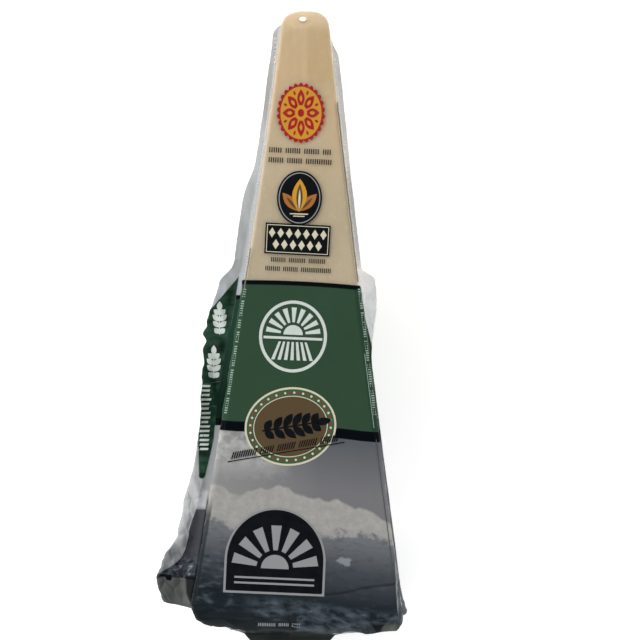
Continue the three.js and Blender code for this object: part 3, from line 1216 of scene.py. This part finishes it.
        # The fine relief, painted shade on the left bevel, and where the gloss is taken away.
        crumple = sheet.cells(sheet.vector(along * 0.05 + out * 0.03, out * 0.05), 4.0)
        loose = sheet.clamp(out * 0.12 + along.above(206.0, 8.0) * 0.4)
        height = sheet.noise(sheet.vector(across * 0.014, along * 0.04), 16.0, 3.0, 0.5) * 0.3
        height = height + sheet.clamp(crumple * 5.0) * loose
        height = height + sheet.noise(place, 420.0, 3.0, 0.5) * 0.04
        upward = sheet.axes(sheet.node("ShaderNodeTexCoord").outputs["Normal"])[2]
        shoulder_shade = sheet.clamp(upward.above(0.2, 0.08) + level.above(90.0, 4.0))
        bent = upward.below(0.955, 0.08) * shoulder_shade * face_ink * (1 - on_fin)
        # Painted shade on the left bevel of the printed face towards the rind end.
        bevel_shade = left * bent * along.above(174.0, 6.0)
        colour = sheet.mix(bevel_shade * 0.75, colour, self.shoulder_shade)
        dull = sheet.clamp(left * (strip * on_fin * 0.85 + flap * 0.6) + bent * 0.85)
        return sheet.surface(
            dull,
            Base_Color=colour,
            Roughness=0.26 + worn.ramp(0.3, 1.4) * 0.14 + on_fin * inked * 0.12,
            Alpha=alpha,
            IOR=1.42,
            Specular_IOR_Level=0.18,
            Coat_Weight=0.04 + on_fin * (1 - inked) * 0.3,
            Coat_Roughness=0.16,
            Normal=sheet.bump(height, 0.55, 0.0006),
        )


@dataclass(frozen=True)
class CheeseFinish:
    """The cheese: straw-coloured, close-grained, with small pale crystals and a darker rind."""

    straw: str = "B3A384"
    butter: str = "BFB093"
    tan: str = "CBAE84"
    grain_and_shade: str = "B89C6C"
    crystal: str = "D8CBAC"
    rind: str = "8E6A38"

    def material(self) -> bpy.types.Material:
        """Build the cheese's material."""
        sheet = ShaderSheet.for_material("hard_cheese")
        place = sheet.place()
        along, across = sheet.attribute("along"), sheet.attribute("across")
        cloudy = sheet.noise(place, 28.0, 4.0, 0.55)
        grain = sheet.noise(place, 420.0, 4.0, 0.6)
        flecks = sheet.noise(place, 1100.0, 2.0, 0.5)
        bands = sheet.noise(sheet.vector(across * 0.05, along * 0.002), 9.0, 2.0, 0.5)
        colour = sheet.mix(cloudy.ramp(0.3, 2.2), self.straw, self.butter)
        colour = sheet.mix(along.below(48.0, 46.0), colour, self.tan)
        # Painted shade on the right side of the ridge down the tip, and on the nose.
        cut = across.above(0.6 + along * 0.02, 1.4) * along.below(30.0, 10.0)
        colour = sheet.mix(cut * 0.55, colour, self.grain_and_shade)
        colour = sheet.mix(along.below(5.0, 9.0) * 0.5, colour, self.grain_and_shade)
        colour = sheet.mix(bands.ramp(0.45, 3.0) * 0.22, colour, self.grain_and_shade)
        colour = sheet.mix(grain.ramp(0.42, 3.0) * 0.14, colour, self.grain_and_shade)
        colour = sheet.mix(flecks.ramp(0.66, 12.0) * 0.4, colour, self.crystal)
        colour = sheet.mix(along.above(206.0, 8.0), colour, self.rind)
        return sheet.surface(
            Base_Color=colour,
            Roughness=0.42 + (grain - 0.5) * 0.3,
            Specular_IOR_Level=0.4,
            Coat_Weight=0.2,
            Coat_Roughness=0.22,
            Normal=sheet.bump(grain * 0.6 + flecks * 0.4, 0.25, 0.0004),
        )


@dataclass(frozen=True)
class InkFinish:
    """One printed ink, with the film's gloss over it and slightly uneven cover."""

    name: str
    colour: str
    uneven: float = 0.1

    def material(self) -> bpy.types.Material:
        """Return the ink's material, made once."""
        made = bpy.data.materials.get(self.name)
        if made:
            return made
        sheet = ShaderSheet.for_material(self.name)
        place = sheet.place()
        cover = sheet.clamp((sheet.noise(place, 260.0, 4.0, 0.6) - 0.3) * 2.2)
        solid = linear(self.colour)
        thin = tuple(c * (1 - self.uneven) + 0.2 * self.uneven for c in solid[:3]) + (1.0,)
        film = sheet.noise(place, 90.0, 3.0, 0.5)
        return sheet.surface(
            Base_Color=sheet.mix(cover, thin, solid),
            Roughness=0.28 + film * 0.12,
            IOR=1.42,
            Specular_IOR_Level=0.18,
            Coat_Weight=0.04,
            Coat_Roughness=0.16,
            Normal=sheet.bump(film, 0.3, 0.0004),
        )


class Ink(Enum):
    """The inks of the print, and a pale rose for painted glints near the tip."""

    RED = InkFinish("red_ink", "A3151E")
    OCHRE = InkFinish("ochre_ink", "CB922A")
    BLACK = InkFinish("black_ink", "070B10", 0.02)
    DARK = InkFinish("brown_black_ink", "2A251F")
    CREAM = InkFinish("cream_ink", "D2CCB4")
    WHITE = InkFinish("white_ink", "CCD4CE")
    GREEN = InkFinish("green_ink", "355A3C")
    BROWN = InkFinish("brown_ink", "55462F", 0.04)
    AMBER = InkFinish("amber_ink", "A8672B")
    PALE = InkFinish("pale_grey_ink", "8E9092")
    PALE_GREEN = InkFinish("pale_green_ink", "8FA99B", 0.3)
    TAUPE = InkFinish("taupe_ink", "6E6550", 0.3)
    SLATE = InkFinish("slate_ink", "3C4247", 0.3)
    # A pale rose for painted glints near the tip, not an ink of the print.
    ROSE_GLINT = InkFinish("rose_glint", "DCCFD0", 0.1)


Outline = list[tuple[float, float]]
EDGE_CORNER = 4.0


def ellipse(x: float, y: float, rx: float, ry: float, count: int = 72) -> list[Outline]:
    """Return an oval as one outline."""
    turns = np.linspace(0, 2 * math.pi, count, endpoint=False)
    return [[(x + rx * math.cos(t), y + ry * math.sin(t)) for t in turns]]


def scalloped(rx: float, ry: float, lobes: int, depth: float) -> list[Outline]:
    """Return an oval with a rim of round lobes."""
    turns = np.linspace(0, 2 * math.pi, lobes * 10, endpoint=False)
    swell = [1 - depth + depth * abs(math.sin(lobes * t / 2)) for t in turns]
    return [[(rx * k * math.cos(t), ry * k * math.sin(t)) for t, k in zip(turns, swell)]]


def ring_of_dots(rx: float, ry: float, radius: float, count: int, shift: float = 0.0) -> list[Outline]:
    """Return small discs spaced evenly round an oval; shift moves them by a share of a step."""
    turns = [2 * math.pi * (i + shift) / count for i in range(count)]
    return [ellipse(rx * math.cos(t), ry * math.sin(t), radius, radius, 10)[0] for t in turns]


def oval_ring(rx: float, ry: float, width: float, count: int = 72) -> list[Outline]:
    """Return a ring as a strip of quads, its outer edge on the oval."""
    turns = np.linspace(0, 2 * math.pi, count + 1)
    outer = [(rx * math.cos(t), ry * math.sin(t)) for t in turns]
    inner = [((rx - width) * math.cos(t), (ry - width) * math.sin(t)) for t in turns]
    return [[outer[i], outer[i + 1], inner[i + 1], inner[i]] for i in range(count)]


def bar(x: float, y: float, width: float, height: float, lean: float = 0.0) -> Outline:
    """Return a bar about its middle; lean moves its top to the right."""
    w, h = width / 2, height / 2
    return [(x - w - lean, y - h), (x + w - lean, y - h), (x + w + lean, y + h), (x - w + lean, y + h)]


def lozenge(x: float, y: float, half_width: float, half_height: float) -> Outline:
    """Return a lozenge about its middle."""
    return [(x - half_width, y), (x, y - half_height), (x + half_width, y), (x, y + half_height)]


def half_disc(x: float, y: float, radius: float) -> Outline:
    """Return the upper half of a disc."""
    return [(x + radius * math.cos(t), y + radius * math.sin(t)) for t in np.linspace(0, math.pi, 25)]


def arch(width: float, height: float) -> list[Outline]:
    """Return a panel with a round top, about the middle of its box."""
    w, h = width / 2, height / 2
    rise = height * 0.62
    top = [(w * math.cos(t), h - rise + rise * math.sin(t)) for t in np.linspace(0, math.pi, 41)]
    return [[(-w, -h), (w, -h), *top]]


def frame_strip(width: float, height: float, line: float) -> list[Outline]:
    """Return a plain rectangular border as four bars."""
    w, h = width / 2, height / 2
    return [
        bar(0, h - line / 2, width, line),
        bar(0, line / 2 - h, width, line),
        bar(line / 2 - w, 0, line, height - 2 * line),
        bar(w - line / 2, 0, line, height - 2 * line),
    ]


def leaf(x: float, y: float, length: float, width: float, turn: float) -> Outline:
    """Return a pointed leaf that starts at a place and grows in a direction, in degrees."""
    c, s = math.cos(math.radians(turn)), math.sin(math.radians(turn))
    ups = [(t, width / 2 * math.sin(math.pi * t) ** 0.9) for t in np.linspace(0, 1, 9)]
    downs = [(t, -w) for t, w in reversed(ups[1:-1])]
    return [(x + length * t * c - w * s, y + length * t * s + w * c) for t, w in ups + downs]


def petals(count: int, inner: float, outer: float, stretch: float, start: float = 0.0) -> list[Outline]:
    """Return a rosette of leaves round a middle, stretched upwards."""
    made = []
    for i in range(count):
        turn = 360 * i / count + 90 + start
        c, s = math.cos(math.radians(turn)), math.sin(math.radians(turn))
        shape = leaf(inner * c, inner * s, outer - inner, (outer - inner) * 0.52, turn)
        made.append([(x, y * stretch) for x, y in shape])
    return made


def rays(x: float, y: float, inner: float, outer: float, count: int) -> list[Outline]:
    """Return a half fan of rays over a place."""
    made = []
    for i in range(count):
        turn = math.pi * (i + 0.5) / count
        half = math.pi / count * 0.27
        near = [(x + inner * math.cos(turn + k), y + inner * math.sin(turn + k)) for k in (-half, half)]
        far = [(x + outer * math.cos(turn + k), y + outer * math.sin(turn + k)) for k in (half, -half)]
        made.append(near + far)
    return made


def furrows(width: float, height: float, count: int, spread: float) -> list[Outline]:
    """Return furrows that run apart towards the viewer, below a level line at 0."""
    made = []
    for i in range(count):
        place = 2 * (i + 0.5) / count - 1
        near, far = place * width / 2 * spread, place * width / 2
        half_near, half_far = width / count * 0.27 * spread, width / count * 0.27
        foot = [(near - half_near, -height), (near + half_near, -height)]
        made.append([(far - half_far, 0.0), *foot, (far + half_far, 0.0)])
    return made


def sprig(length: float, pairs: int, leaf_length: float, leaf_width: float) -> list[Outline]:
    """Return a level stem with pairs of leaves."""
    made = [bar(0, 0, length, leaf_width * 0.22)]
    for i in range(pairs):
        x = length * (i / pairs - 0.46)
        size = leaf_length * (1 - 0.35 * abs(2 * i / pairs - 0.8))
        made += [leaf(x, 0, size, leaf_width, 48), leaf(x, 0, size, leaf_width, -48)]
    made.append(leaf(length * 0.42, 0, leaf_length, leaf_width, 0))
    return made


def shifted(outlines: Iterable[Outline], x: float, y: float, scale: float = 1.0) -> list[Outline]:
    """Scale outlines about their middle and then move them."""
    return [[(px * scale + x, py * scale + y) for px, py in outline] for outline in outlines]


def ticks(
    length: float, height: float, seed: int, stroke: float = 0.3, lean: float = 0.0
) -> list[Outline]:
    """Return a centred row of plain even ticks in groups of uneven length, in place of small print."""
    rng = np.random.default_rng(seed)
    pitch, gap = 1.85 * stroke, 2.6 * stroke
    places, x = [], 0.0
    while x < length - 4 * pitch:
        left = int((length - x) / pitch)
        count = int(rng.integers(5, 12))
        count = left if left - count < 6 else count
        places += [x + i * pitch for i in range(count)]
        x += count * pitch + gap
    middle = (places[0] + places[-1]) / 2
    return [bar(place - middle, 0, stroke, height, lean * height / 2) for place in places]


@dataclass
class FilmSurface:
    """Finds places on the finished film, so that the print lies on it."""

    grid: SheetGrid
    form: PackForm
    centre: tuple[float, float]

    def __post_init__(self) -> None:
        """Sort the columns from the left side to the right."""
        half = self.grid.along.shape[1] // 2 + 1
        front_zones = (Zone.FRONT.value, Zone.CORNER.value, Zone.WALL.value)
        zones = self.grid.zones[len(self.grid.zones) // 2]
        right = [i for i in range(half) if zones[i] in front_zones]
        left = [i for i in range(half, len(zones)) if zones[i] in front_zones]
        self.columns = np.array(left + right)
        fin = [i for i in range(half, len(zones)) if zones[i] in (Zone.TENT.value, Zone.FIN.value)]
        level = self.grid.points[len(zones) // 4][fin]
        top = int(np.argmin(level[:, 0]))
        self.left_fin = np.array(fin[top + 1 :] + left)
        self.rows = self.grid.along[:, 0]
        self.normal = self.grid.normals()

    def look_up(
        self,
        along: np.ndarray,
        key: np.ndarray,
        keys: np.ndarray,
        columns: np.ndarray,
        lift: float,
    ) -> np.ndarray:
        """Interpolate places on the film.

        Args:
            along: The row distances wanted.
            key: The value wanted across each row.
            keys: That value at every grid point.
            columns: The columns to search, in order of rising value.
            lift: How far off the film the places are.

        Returns:
            The places.
        """
        places = self.grid.points + self.normal * lift
        found = []
        for s, k in zip(along, key):
            row = int(np.clip(np.searchsorted(self.rows, s) - 1, 0, len(self.rows) - 2))
            share = (s - self.rows[row]) / (self.rows[row + 1] - self.rows[row])
            ends = []
            for r in (row, row + 1):
                values = keys[r, columns]
                ends.append([np.interp(k, values, places[r, columns, axis]) for axis in range(3)])
            found.append((1 - share) * np.array(ends[0]) + share * np.array(ends[1]))
        return np.array(found)

    def on_face(self, points: np.ndarray, lift: float) -> np.ndarray:
        """Lay points of the flat plan, as x and y in the pack's frame, on the shown face."""
        along = -(points[:, 1] + self.centre[1])
        x = points[:, 0] + self.centre[0] - self.form.axis(along)
        for _ in range(3):
            along = along - (self.form.pushed_back(along, x) + points[:, 1] + self.centre[1])
        return self.look_up(along, x, self.grid.across, self.columns, lift)

    def on_fin(self, points: np.ndarray, lift: float) -> np.ndarray:
        """Lay points of the flat plan on the left fin, seen from above."""
        along = -(points[:, 1] + self.centre[1])
        return self.look_up(along, points[:, 0], self.grid.points[..., 0], self.left_fin, lift)

    def along_edge(self, points: np.ndarray, lift: float) -> np.ndarray:
        """Lay points given as across and along on the face and down over its long edges."""
        return self.look_up(points[:, 1], points[:, 0], self.grid.across, self.columns, lift)


class Bed(Enum):
    """What a motif is printed on."""

    FACE = "on_face"
    FIN = "on_fin"
    EDGE = "along_edge"


def photo_place(x: float, y: float, level: float = FACE_LEVEL) -> tuple[float, float]:
    """Turn a pixel of the photograph into a place on the pack.

    Args:
        x: The pixel's column.
        y: Its row.
        level: The height of what it shows above the back face.

    Returns:
        The place's x and y in the pack's frame.
    """
    scale = PIXEL_MM * (CAMERA_HEIGHT + FACE_LEVEL - level) / CAMERA_HEIGHT
    middle = PHOTO_PIXELS / 2
    return VIEW_CENTRE[0] + (x - middle) * scale, VIEW_CENTRE[1] - (y - middle) * scale


@dataclass
class PrintedMotif:
    """A printed device, built as thin inked shapes that lie on the film."""

    name: str
    layers: list[tuple[Ink, list[Outline]]]
    place: tuple[float, float] = (0.0, 0.0)
    turn: float = 0.0
    bed: Bed = Bed.FACE
    cell: float = 1.1
    lift: float = 0.06
    layer_lift: float = 0.025

    def moved(self, outline: Outline) -> Outline:
        """Turn an outline and put it in its place."""
        c, s = math.cos(math.radians(self.turn)), math.sin(math.radians(self.turn))
        x0, y0 = self.place
        return [(x0 + x * c - y * s, y0 + x * s + y * c) for x, y in outline]

    def layer_mesh(self, outlines: Iterable[Outline], index: int) -> bmesh.types.BMesh:
        """Cut one layer's shapes into small faces, so that they can follow the film.

        Args:
            outlines: The shapes.
            index: The layer's number, which is also its ink's slot.

        Returns:
            The flat mesh.
        """
        bm = bmesh.new()
        for outline in outlines:
            face = bm.faces.new([bm.verts.new((x, y, 0)) for x, y in self.moved(outline)])
            face.normal_update()
            if face.normal.z < 0:
                face.normal_flip()
        bmesh.ops.triangulate(bm, faces=bm.faces[:], quad_method="BEAUTY", ngon_method="BEAUTY")
        for axis in (0, 1):
            values = [v.co[axis] for v in bm.verts]
            direction = Vector((1, 0, 0)) if axis == 0 else Vector((0, 1, 0))
            for cut in np.arange(math.floor(min(values)), max(values), self.cell):
                geometry = bm.verts[:] + bm.edges[:] + bm.faces[:]
                bmesh.ops.bisect_plane(bm, geom=geometry, plane_co=direction * cut, plane_no=direction)
        for face in bm.faces:
            face.material_index = index
            face.smooth = True
        return bm

    def build(self, film: FilmSurface) -> bpy.types.Object:
        """Make the piece.

        Args:
            film: The film that it lies on.

        Returns:
            The new object.
        """
        mesh = bpy.data.meshes.new(self.name)
        whole = bmesh.new()
        lay: Callable[[np.ndarray, float], np.ndarray] = getattr(film, self.bed.value)
        for index, (ink, outlines) in enumerate(self.layers):
            mesh.materials.append(ink.value.material())
            bm = self.layer_mesh(outlines, index)
            flat = np.array([v.co[:2] for v in bm.verts])
            laid = lay(flat, self.lift + index * self.layer_lift) * MM
            for vert, co in zip(bm.verts, laid):
                vert.co = co
            part = bpy.data.meshes.new("layer")
            bm.to_mesh(part)
            bm.free()
            whole.from_mesh(part)
            bpy.data.meshes.remove(part)
        whole.to_mesh(mesh)
        whole.free()
        return add_object(self.name, mesh)


def pack_print(form: PackForm) -> list[PrintedMotif]:
    """List the print: plain devices of this pack's own, and rows of ticks for small print."""
    seal = PrintedMotif(
        "seal_print",
        [
            (Ink.RED, scalloped(8.5, 10.6, 26, 0.1)),
            (Ink.OCHRE, ellipse(0, 0, 7.2, 9.2)),
            (Ink.RED, petals(8, 1.5, 6.5, 1.28)),
            (Ink.RED, petals(8, 5.2, 6.6, 1.28, 22.5)),
            (Ink.OCHRE, ellipse(0, 0, 2.1, 2.7) + petals(8, 3.0, 4.9, 1.28)),
            (Ink.RED, ellipse(0, 0, 1.1, 1.4)),
        ],
        photo_place(301, 113),
    )
    oval = PrintedMotif(
        "oval_print",
        [
            (Ink.BLACK, ellipse(0, 0, 7.9, 9.5)),
            (Ink.PALE, oval_ring(7.3, 8.9, 0.35)),
            (Ink.AMBER, [leaf(-0.4, -4.6, 8.4, 3.4, 132), leaf(0.4, -4.6, 8.4, 3.4, 48)]),
            (Ink.OCHRE, [leaf(0, -4.9, 11.6, 5.2, 90)]),
            (Ink.BROWN, [leaf(0, -4.6, 9.6, 2.2, 90)]
             + [leaf(-0.9, -4.0, 5.6, 0.9, 131), leaf(0.9, -4.0, 5.6, 0.9, 49)]),
            (Ink.CREAM, [leaf(0, -4.4, 7.6, 0.8, 90), bar(0, -5.6, 6.4, 0.4), bar(0, -6.4, 4.0, 0.35)]),
        ],
        photo_place(299.5, 198),
        -2.0,
    )
    sign = PrintedMotif(
        "sign_print",
        [
            (Ink.BLACK, [bar(0, 0, 22.8, 10.8)]),
            (Ink.CREAM, frame_strip(21.7, 9.7, 0.25)),
            (Ink.CREAM, [lozenge(x, 2.0, 1.15, 1.75) for x in (-9, -6, -3, 0, 3, 6, 9)]),
            (Ink.CREAM, [lozenge(x, -2.0, 1.15, 1.75) for x in (-7.5, -4.5, -1.5, 1.5, 4.5, 7.5)]),
        ],
        photo_place(297.5, 239.5),
        -3.0,
    )
    small_rows = [(151, 0, 22.4), (161, 1, 22.8), (260.5, 2, 19.5), (269.5, 3, 23.4)]
    small = [
        PrintedMotif(
            f"small_print_{i + 1}",
            [(Ink.DARK, ticks(length, 1.8 if i < 2 else 1.6, 60 + i, 0.42 if i < 2 else 0.36))],
            photo_place(300 - 2 * (i // 2), row),
            -2.6,
        )
        for row, i, length in small_rows
    ]
    field_mark = PrintedMotif(
        "field_mark_print",
        [
            (Ink.WHITE, oval_ring(11.9, 12.6, 1.1) + rays(0, 0.6, 4.4, 9.6, 9)),
            (Ink.WHITE, [half_disc(0, 0.6, 3.4), bar(0, -0.6, 20.6, 0.9)]),
            (Ink.WHITE, shifted(furrows(10.5, 6.4, 7, 1.5), 0.0, -1.9)),
        ],
        photo_place(293, 336.5),
        -2.5,
    )
    roundel = PrintedMotif(
        "roundel_print",
        [
            (Ink.CREAM, ellipse(0, 0, 16.1, 13.7)),
            (Ink.GREEN, ellipse(0, 0, 15.4, 13.0)),
            (Ink.CREAM, ring_of_dots(14.2, 11.8, 0.42, 28)),
            (Ink.RED, ring_of_dots(14.2, 11.8, 0.42, 28, 0.5)),
            (Ink.CREAM, ellipse(0, 0, 13.1, 10.7)),
            (Ink.BROWN, ellipse(0, 0, 12.8, 10.4)),
            (Ink.BLACK, sprig(20.0, 6, 6.2, 2.7)),
        ],
        photo_place(290.5, 426.5),
        9.0,
    )
    flourish = PrintedMotif(
        "flourish_print",
        [
            (Ink.BLACK, [bar(0, 0, 41.5, 0.34)] + shifted(ticks(38, 2.3, 71, 0.44, 0.5), 0.0, 1.9)),
        ],
        photo_place(286, 452),
        9.5,
        lift=0.22,
    )
    badge = PrintedMotif(
        "badge_print",
        [
            (Ink.PALE, arch(35.4, 30.4)),
            (Ink.BLACK, arch(33.8, 28.8)),
            (Ink.PALE, shifted([bar(0, 0, 28, 0.7), bar(0, -1.9, 28, 0.7)], 0.0, -9.6)),
            (Ink.PALE, shifted(rays(0, 0, 5.2, 12.2, 7), 0.0, -6.2, 1.25)),
            (Ink.PALE, shifted([half_disc(0, 0, 3.9)], 0.0, -6.2, 1.25)),
        ],
        photo_place(275.5, 551),
        -2.5,
    )
    foot_row = [(Ink.PALE, ticks(15.5, 1.2, 91, 0.34))]
    foot = PrintedMotif("foot_print", foot_row, photo_place(279, 624.5), -1.0)
    on_face = [seal, oval, sign, *small, field_mark, roundel, flourish, badge, foot]
    return on_face + edge_rows(form) + flap_print()


def edge_line(
    form: PackForm, side: Side, start: float, end: float, inset: float, width: float
) -> list[Outline]:
    """Return a fine line down one long edge, as short lengths given as across and along."""
    stops = np.linspace(start, end, max(2, int((end - start) / 4) + 1))
    halves = side.value * (form.half_width(stops, EDGE_CORNER) - inset)
    pairs = zip(stops[:-1], stops[1:], halves[:-1], halves[1:])
    return [[(p, s), (p + width, s), (q + width, e), (q, e)] for s, e, p, q in pairs]


def edge_rows(form: PackForm) -> list[PrintedMotif]:
    """Return the ticks down both long edges of the green field, and the fine lines along the edges."""
    start, stroke, pitch, gap = 98.5, 0.42, 0.82, 0.9
    rows = []
    for side, inset, width, seed, end in (
        (Side.LEFT, 0.8, 0.95, 81, 141.0),
        (Side.RIGHT, 0.3, 1.15, 82, 142.5),
    ):
        rng = np.random.default_rng(seed)
        outlines, s = [], start
        while s < end:
            for _ in range(int(rng.integers(4, 12))):
                half = float(form.half_width(np.array([s]), EDGE_CORNER)[0]) - inset
                outlines.append(bar(side.value * half, s, width, stroke))
                s += pitch
            s += gap
        name = f"{side.name.lower()}_edge_print"
        rows.append(PrintedMotif(name, [(Ink.PALE_GREEN, outlines)], bed=Bed.EDGE))
    pale = edge_line(form, Side.RIGHT, 121.0, 147.0, 1.35, 0.2)
    dark = edge_line(form, Side.RIGHT, 33.0, 96.0, 0.75, 0.45)
    dark += edge_line(form, Side.LEFT, 84.0, 98.5, 0.45, 0.4)
    low = edge_line(form, Side.RIGHT, 151.0, 200.0, 1.2, 0.2)
    layers = [(Ink.PALE_GREEN, pale), (Ink.TAUPE, dark), (Ink.SLATE, low)]
    rows.append(PrintedMotif("edge_lines", layers, bed=Bed.EDGE))
    return rows


def flap_print() -> list[PrintedMotif]:
    """Return the white ears and bars on the left flap of film, and the painted pinkish glints on the
    fin near the tip.
    """
    level = 59.0
    ears = []
    for column, row in ((219.6, 322.0), (213.8, 366.0)):
        left, low = photo_place(column, row, level)
        ears += [[(left - y, low + x) for x, y in outline] for outline in sprig(9.0, 4, 3.7, 2.0)]
    bars = []
    for i in range(15):
        x, y = photo_place(205.6 - 0.11 * i, 386 + 4.5 * i, level)
        bars.append(bar(x, y, 3.4 - 0.5 * (i % 3) + 0.3 * (i % 4), 0.8, 0.15))
    # Painted highlights: small pinkish glints on the fin near the tip.
    marks = []
    for i, y in enumerate((38.5, 42.5, 47.5, 51.0, 57.0, 62.0)):
        x, y = photo_place(275.4 - 0.1 * i, y, level)
        marks.append(bar(x, y, 1.05 - 0.08 * i, 0.7 - 0.06 * (i % 2), 0.1))
    return [
        PrintedMotif("flap_print", [(Ink.WHITE, ears + bars)], bed=Bed.FIN, lift=0.09, cell=0.8),
        PrintedMotif("tip_glints", [(Ink.ROSE_GLINT, marks)], bed=Bed.FIN, lift=0.09, cell=0.8),
    ]


@dataclass
class FilmBag:
    """The film bag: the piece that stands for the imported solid."""

    form: PackForm
    loft: PackLoft

    def build(self) -> tuple[bpy.types.Object, SheetGrid]:
        """Make the bag and return it with its grid."""
        plain = self.loft.grid(film_stations(self.form))
        grid = FilmRelief(self.form).apply(plain)
        piece = mesh_from_grid("film_bag", grid)
        piece.data.materials.append(FilmFinish().material())
        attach(piece, BODY)
        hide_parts(NODE)
        return piece, grid


@dataclass
class CheeseWedge:
    """The cheese in the bag, a little smaller than the film all round."""

    form: PackForm
    loft: PackLoft
    gap: float = 0.45

    def build(self) -> bpy.types.Object:
        """Make the wedge of cheese."""
        steps = SectionSteps(30, 6, 14, 4, 1, 4, 8, 4, 12)
        loft = PackLoft(self.form, steps, self.loft.centre)
        stations = np.concatenate([
            self.form.nose_edge * (1 - np.cos(np.linspace(0, math.pi / 2, 16))),
            np.linspace(self.form.nose_edge, self.form.length - self.form.rind_edge, 190)[1:],
            self.form.length - self.form.rind_edge * (1 - np.sin(np.linspace(0, math.pi / 2, 10)[1:])),
        ])
        grid = loft.grid(stations, fins=False)
        crag = LatticeNoise(61).at(grid.across / 3.0, grid.along / 3.4)
        low = LatticeNoise(3).at(grid.across / 26.0 + 4, grid.along / 38.0) * 0.25
        inset = self.gap - 0.1 * crag - low
        grid.points = grid.points - grid.normals() * inset[..., None]
        piece = mesh_from_grid("cheese_wedge", grid)
        piece.data.materials.append(CheeseFinish().material())
        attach(piece, BODY)
        return piece


@dataclass(frozen=True)
class Softbox:
    """One square soft light: its place and its side in metres, and its power in watts."""

    name: str
    place: tuple[float, float, float]
    watts: float
    size: float = 2.0


SOFTBOXES = (
    Softbox("left_softbox", (-1.7, 0.5, 1.35), 18),
    Softbox("right_softbox", (1.8, 0.1, 1.1), 8),
    Softbox("near_softbox", (0.1, -1.8, 1.1), 2.5),
    Softbox("far_softbox", (-0.1, 1.8, 1.2), 12),
)
WHITE_LIGHT = (1.0, 1.0, 1.0, 1.0)


@dataclass
class Studio:
    """The pale floor, the soft lights and the camera that looks down on the pack."""

    floor_half: float = 4000.0
    floor_glow: float = 0.47
    sensor: float = 36.0
    clip: tuple[float, float] = (0.05, 20.0)
    aim: tuple[float, float, float] = (0.0, 0.0, 0.08)
    air_level: float = 1.08

    def floor(self) -> None:
        """Make the floor, a pale light table with a faint grain."""
        bm = bmesh.new()
        half = self.floor_half * MM
        bmesh.ops.create_grid(bm, x_segments=24, y_segments=24, size=half)
        mesh = bpy.data.meshes.new("studio_floor")
        bm.to_mesh(mesh)
        bm.free()
        floor = add_object("studio_floor", mesh)
        floor.location.z = -FLOOR_GAP * MM
        sheet = ShaderSheet.for_material("pale_floor")
        tone = sheet.noise(sheet.place(), 3.0, 2.0, 0.5)
        colour = sheet.mix(tone, "F6F6F5", "F9F9F9")
        mesh.materials.append(
            sheet.surface(
                Base_Color=colour,
                Roughness=0.85,
                Emission_Color=WHITE_LIGHT,
                Emission_Strength=self.floor_glow,
            )
        )

    def hang(self, box: Softbox) -> None:
        """Add a square soft light that faces the pack."""
        light = bpy.data.lights.new(box.name, "AREA")
        light.energy, light.size = box.watts, box.size
        lamp = add_object(box.name, light)
        lamp.location = box.place
        aim = Vector(self.aim) - Vector(box.place)
        lamp.rotation_euler = aim.to_track_quat("-Z", "Y").to_euler()

    def air(self) -> None:
        """Light the scene from all sides, and hardly from overhead, where the camera is."""
        sheet = ShaderSheet.for_world("studio_air")
        place = sheet.node("ShaderNodeTexCoord").outputs["Generated"]
        sideways, depth, up = sheet.axes(place)
        level = self.air_level * (1 - up.spread(0.62, 0.26) * 0.96)
        level = level * (1 - sideways * 0.16 + depth * 0.22)
        sockets = {"Color": WHITE_LIGHT, "Strength": level}
        background = sheet.node("ShaderNodeBackground", None, sockets)
        sheet.tree.links.new(background.outputs[0], sheet.output.inputs[0])

    def lights(self) -> None:
        """Hang the soft lights."""
        for box in SOFTBOXES:
            self.hang(box)

    def camera(self) -> None:
        """Put the camera over the shown face, as the photograph was taken."""
        data = bpy.data.cameras.new("camera")
        data.sensor_width = self.sensor
        width = PHOTO_PIXELS * PIXEL_MM
        data.lens = self.sensor * CAMERA_HEIGHT / width
        data.clip_start, data.clip_end = self.clip
        camera = add_object("camera", data)
        height = CAMERA_HEIGHT + FACE_LEVEL
        camera.location = (VIEW_CENTRE[0] * MM, VIEW_CENTRE[1] * MM, height * MM)
        bpy.context.scene.camera = camera

    def build(self) -> None:
        """Set up the studio, with colours shown as they are."""
        self.camera()
        self.floor()
        self.air()
        self.lights()
        bpy.context.scene.view_settings.view_transform = "Standard"


def main() -> None:
    """Build the pack and its studio."""
    logging.basicConfig(level=logging.INFO, format="%(name)s: %(message)s")
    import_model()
    form = PackForm()
    loft = PackLoft(form)
    loft.set_centre(*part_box(NODE))
    Studio().build()
    bag, grid = FilmBag(form, loft).build()
    log.info("%s: %d faces", bag.name, len(bag.data.polygons))
    cheese = CheeseWedge(form, loft).build()
    log.info("%s: %d faces", cheese.name, len(cheese.data.polygons))
    film = FilmSurface(grid, form, loft.centre)
    for motif in pack_print(form):
        piece = motif.build(film)
        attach(piece, BODY)
        log.info("%s: %d faces", piece.name, len(piece.data.polygons))


if __name__ == "__main__":
    main()
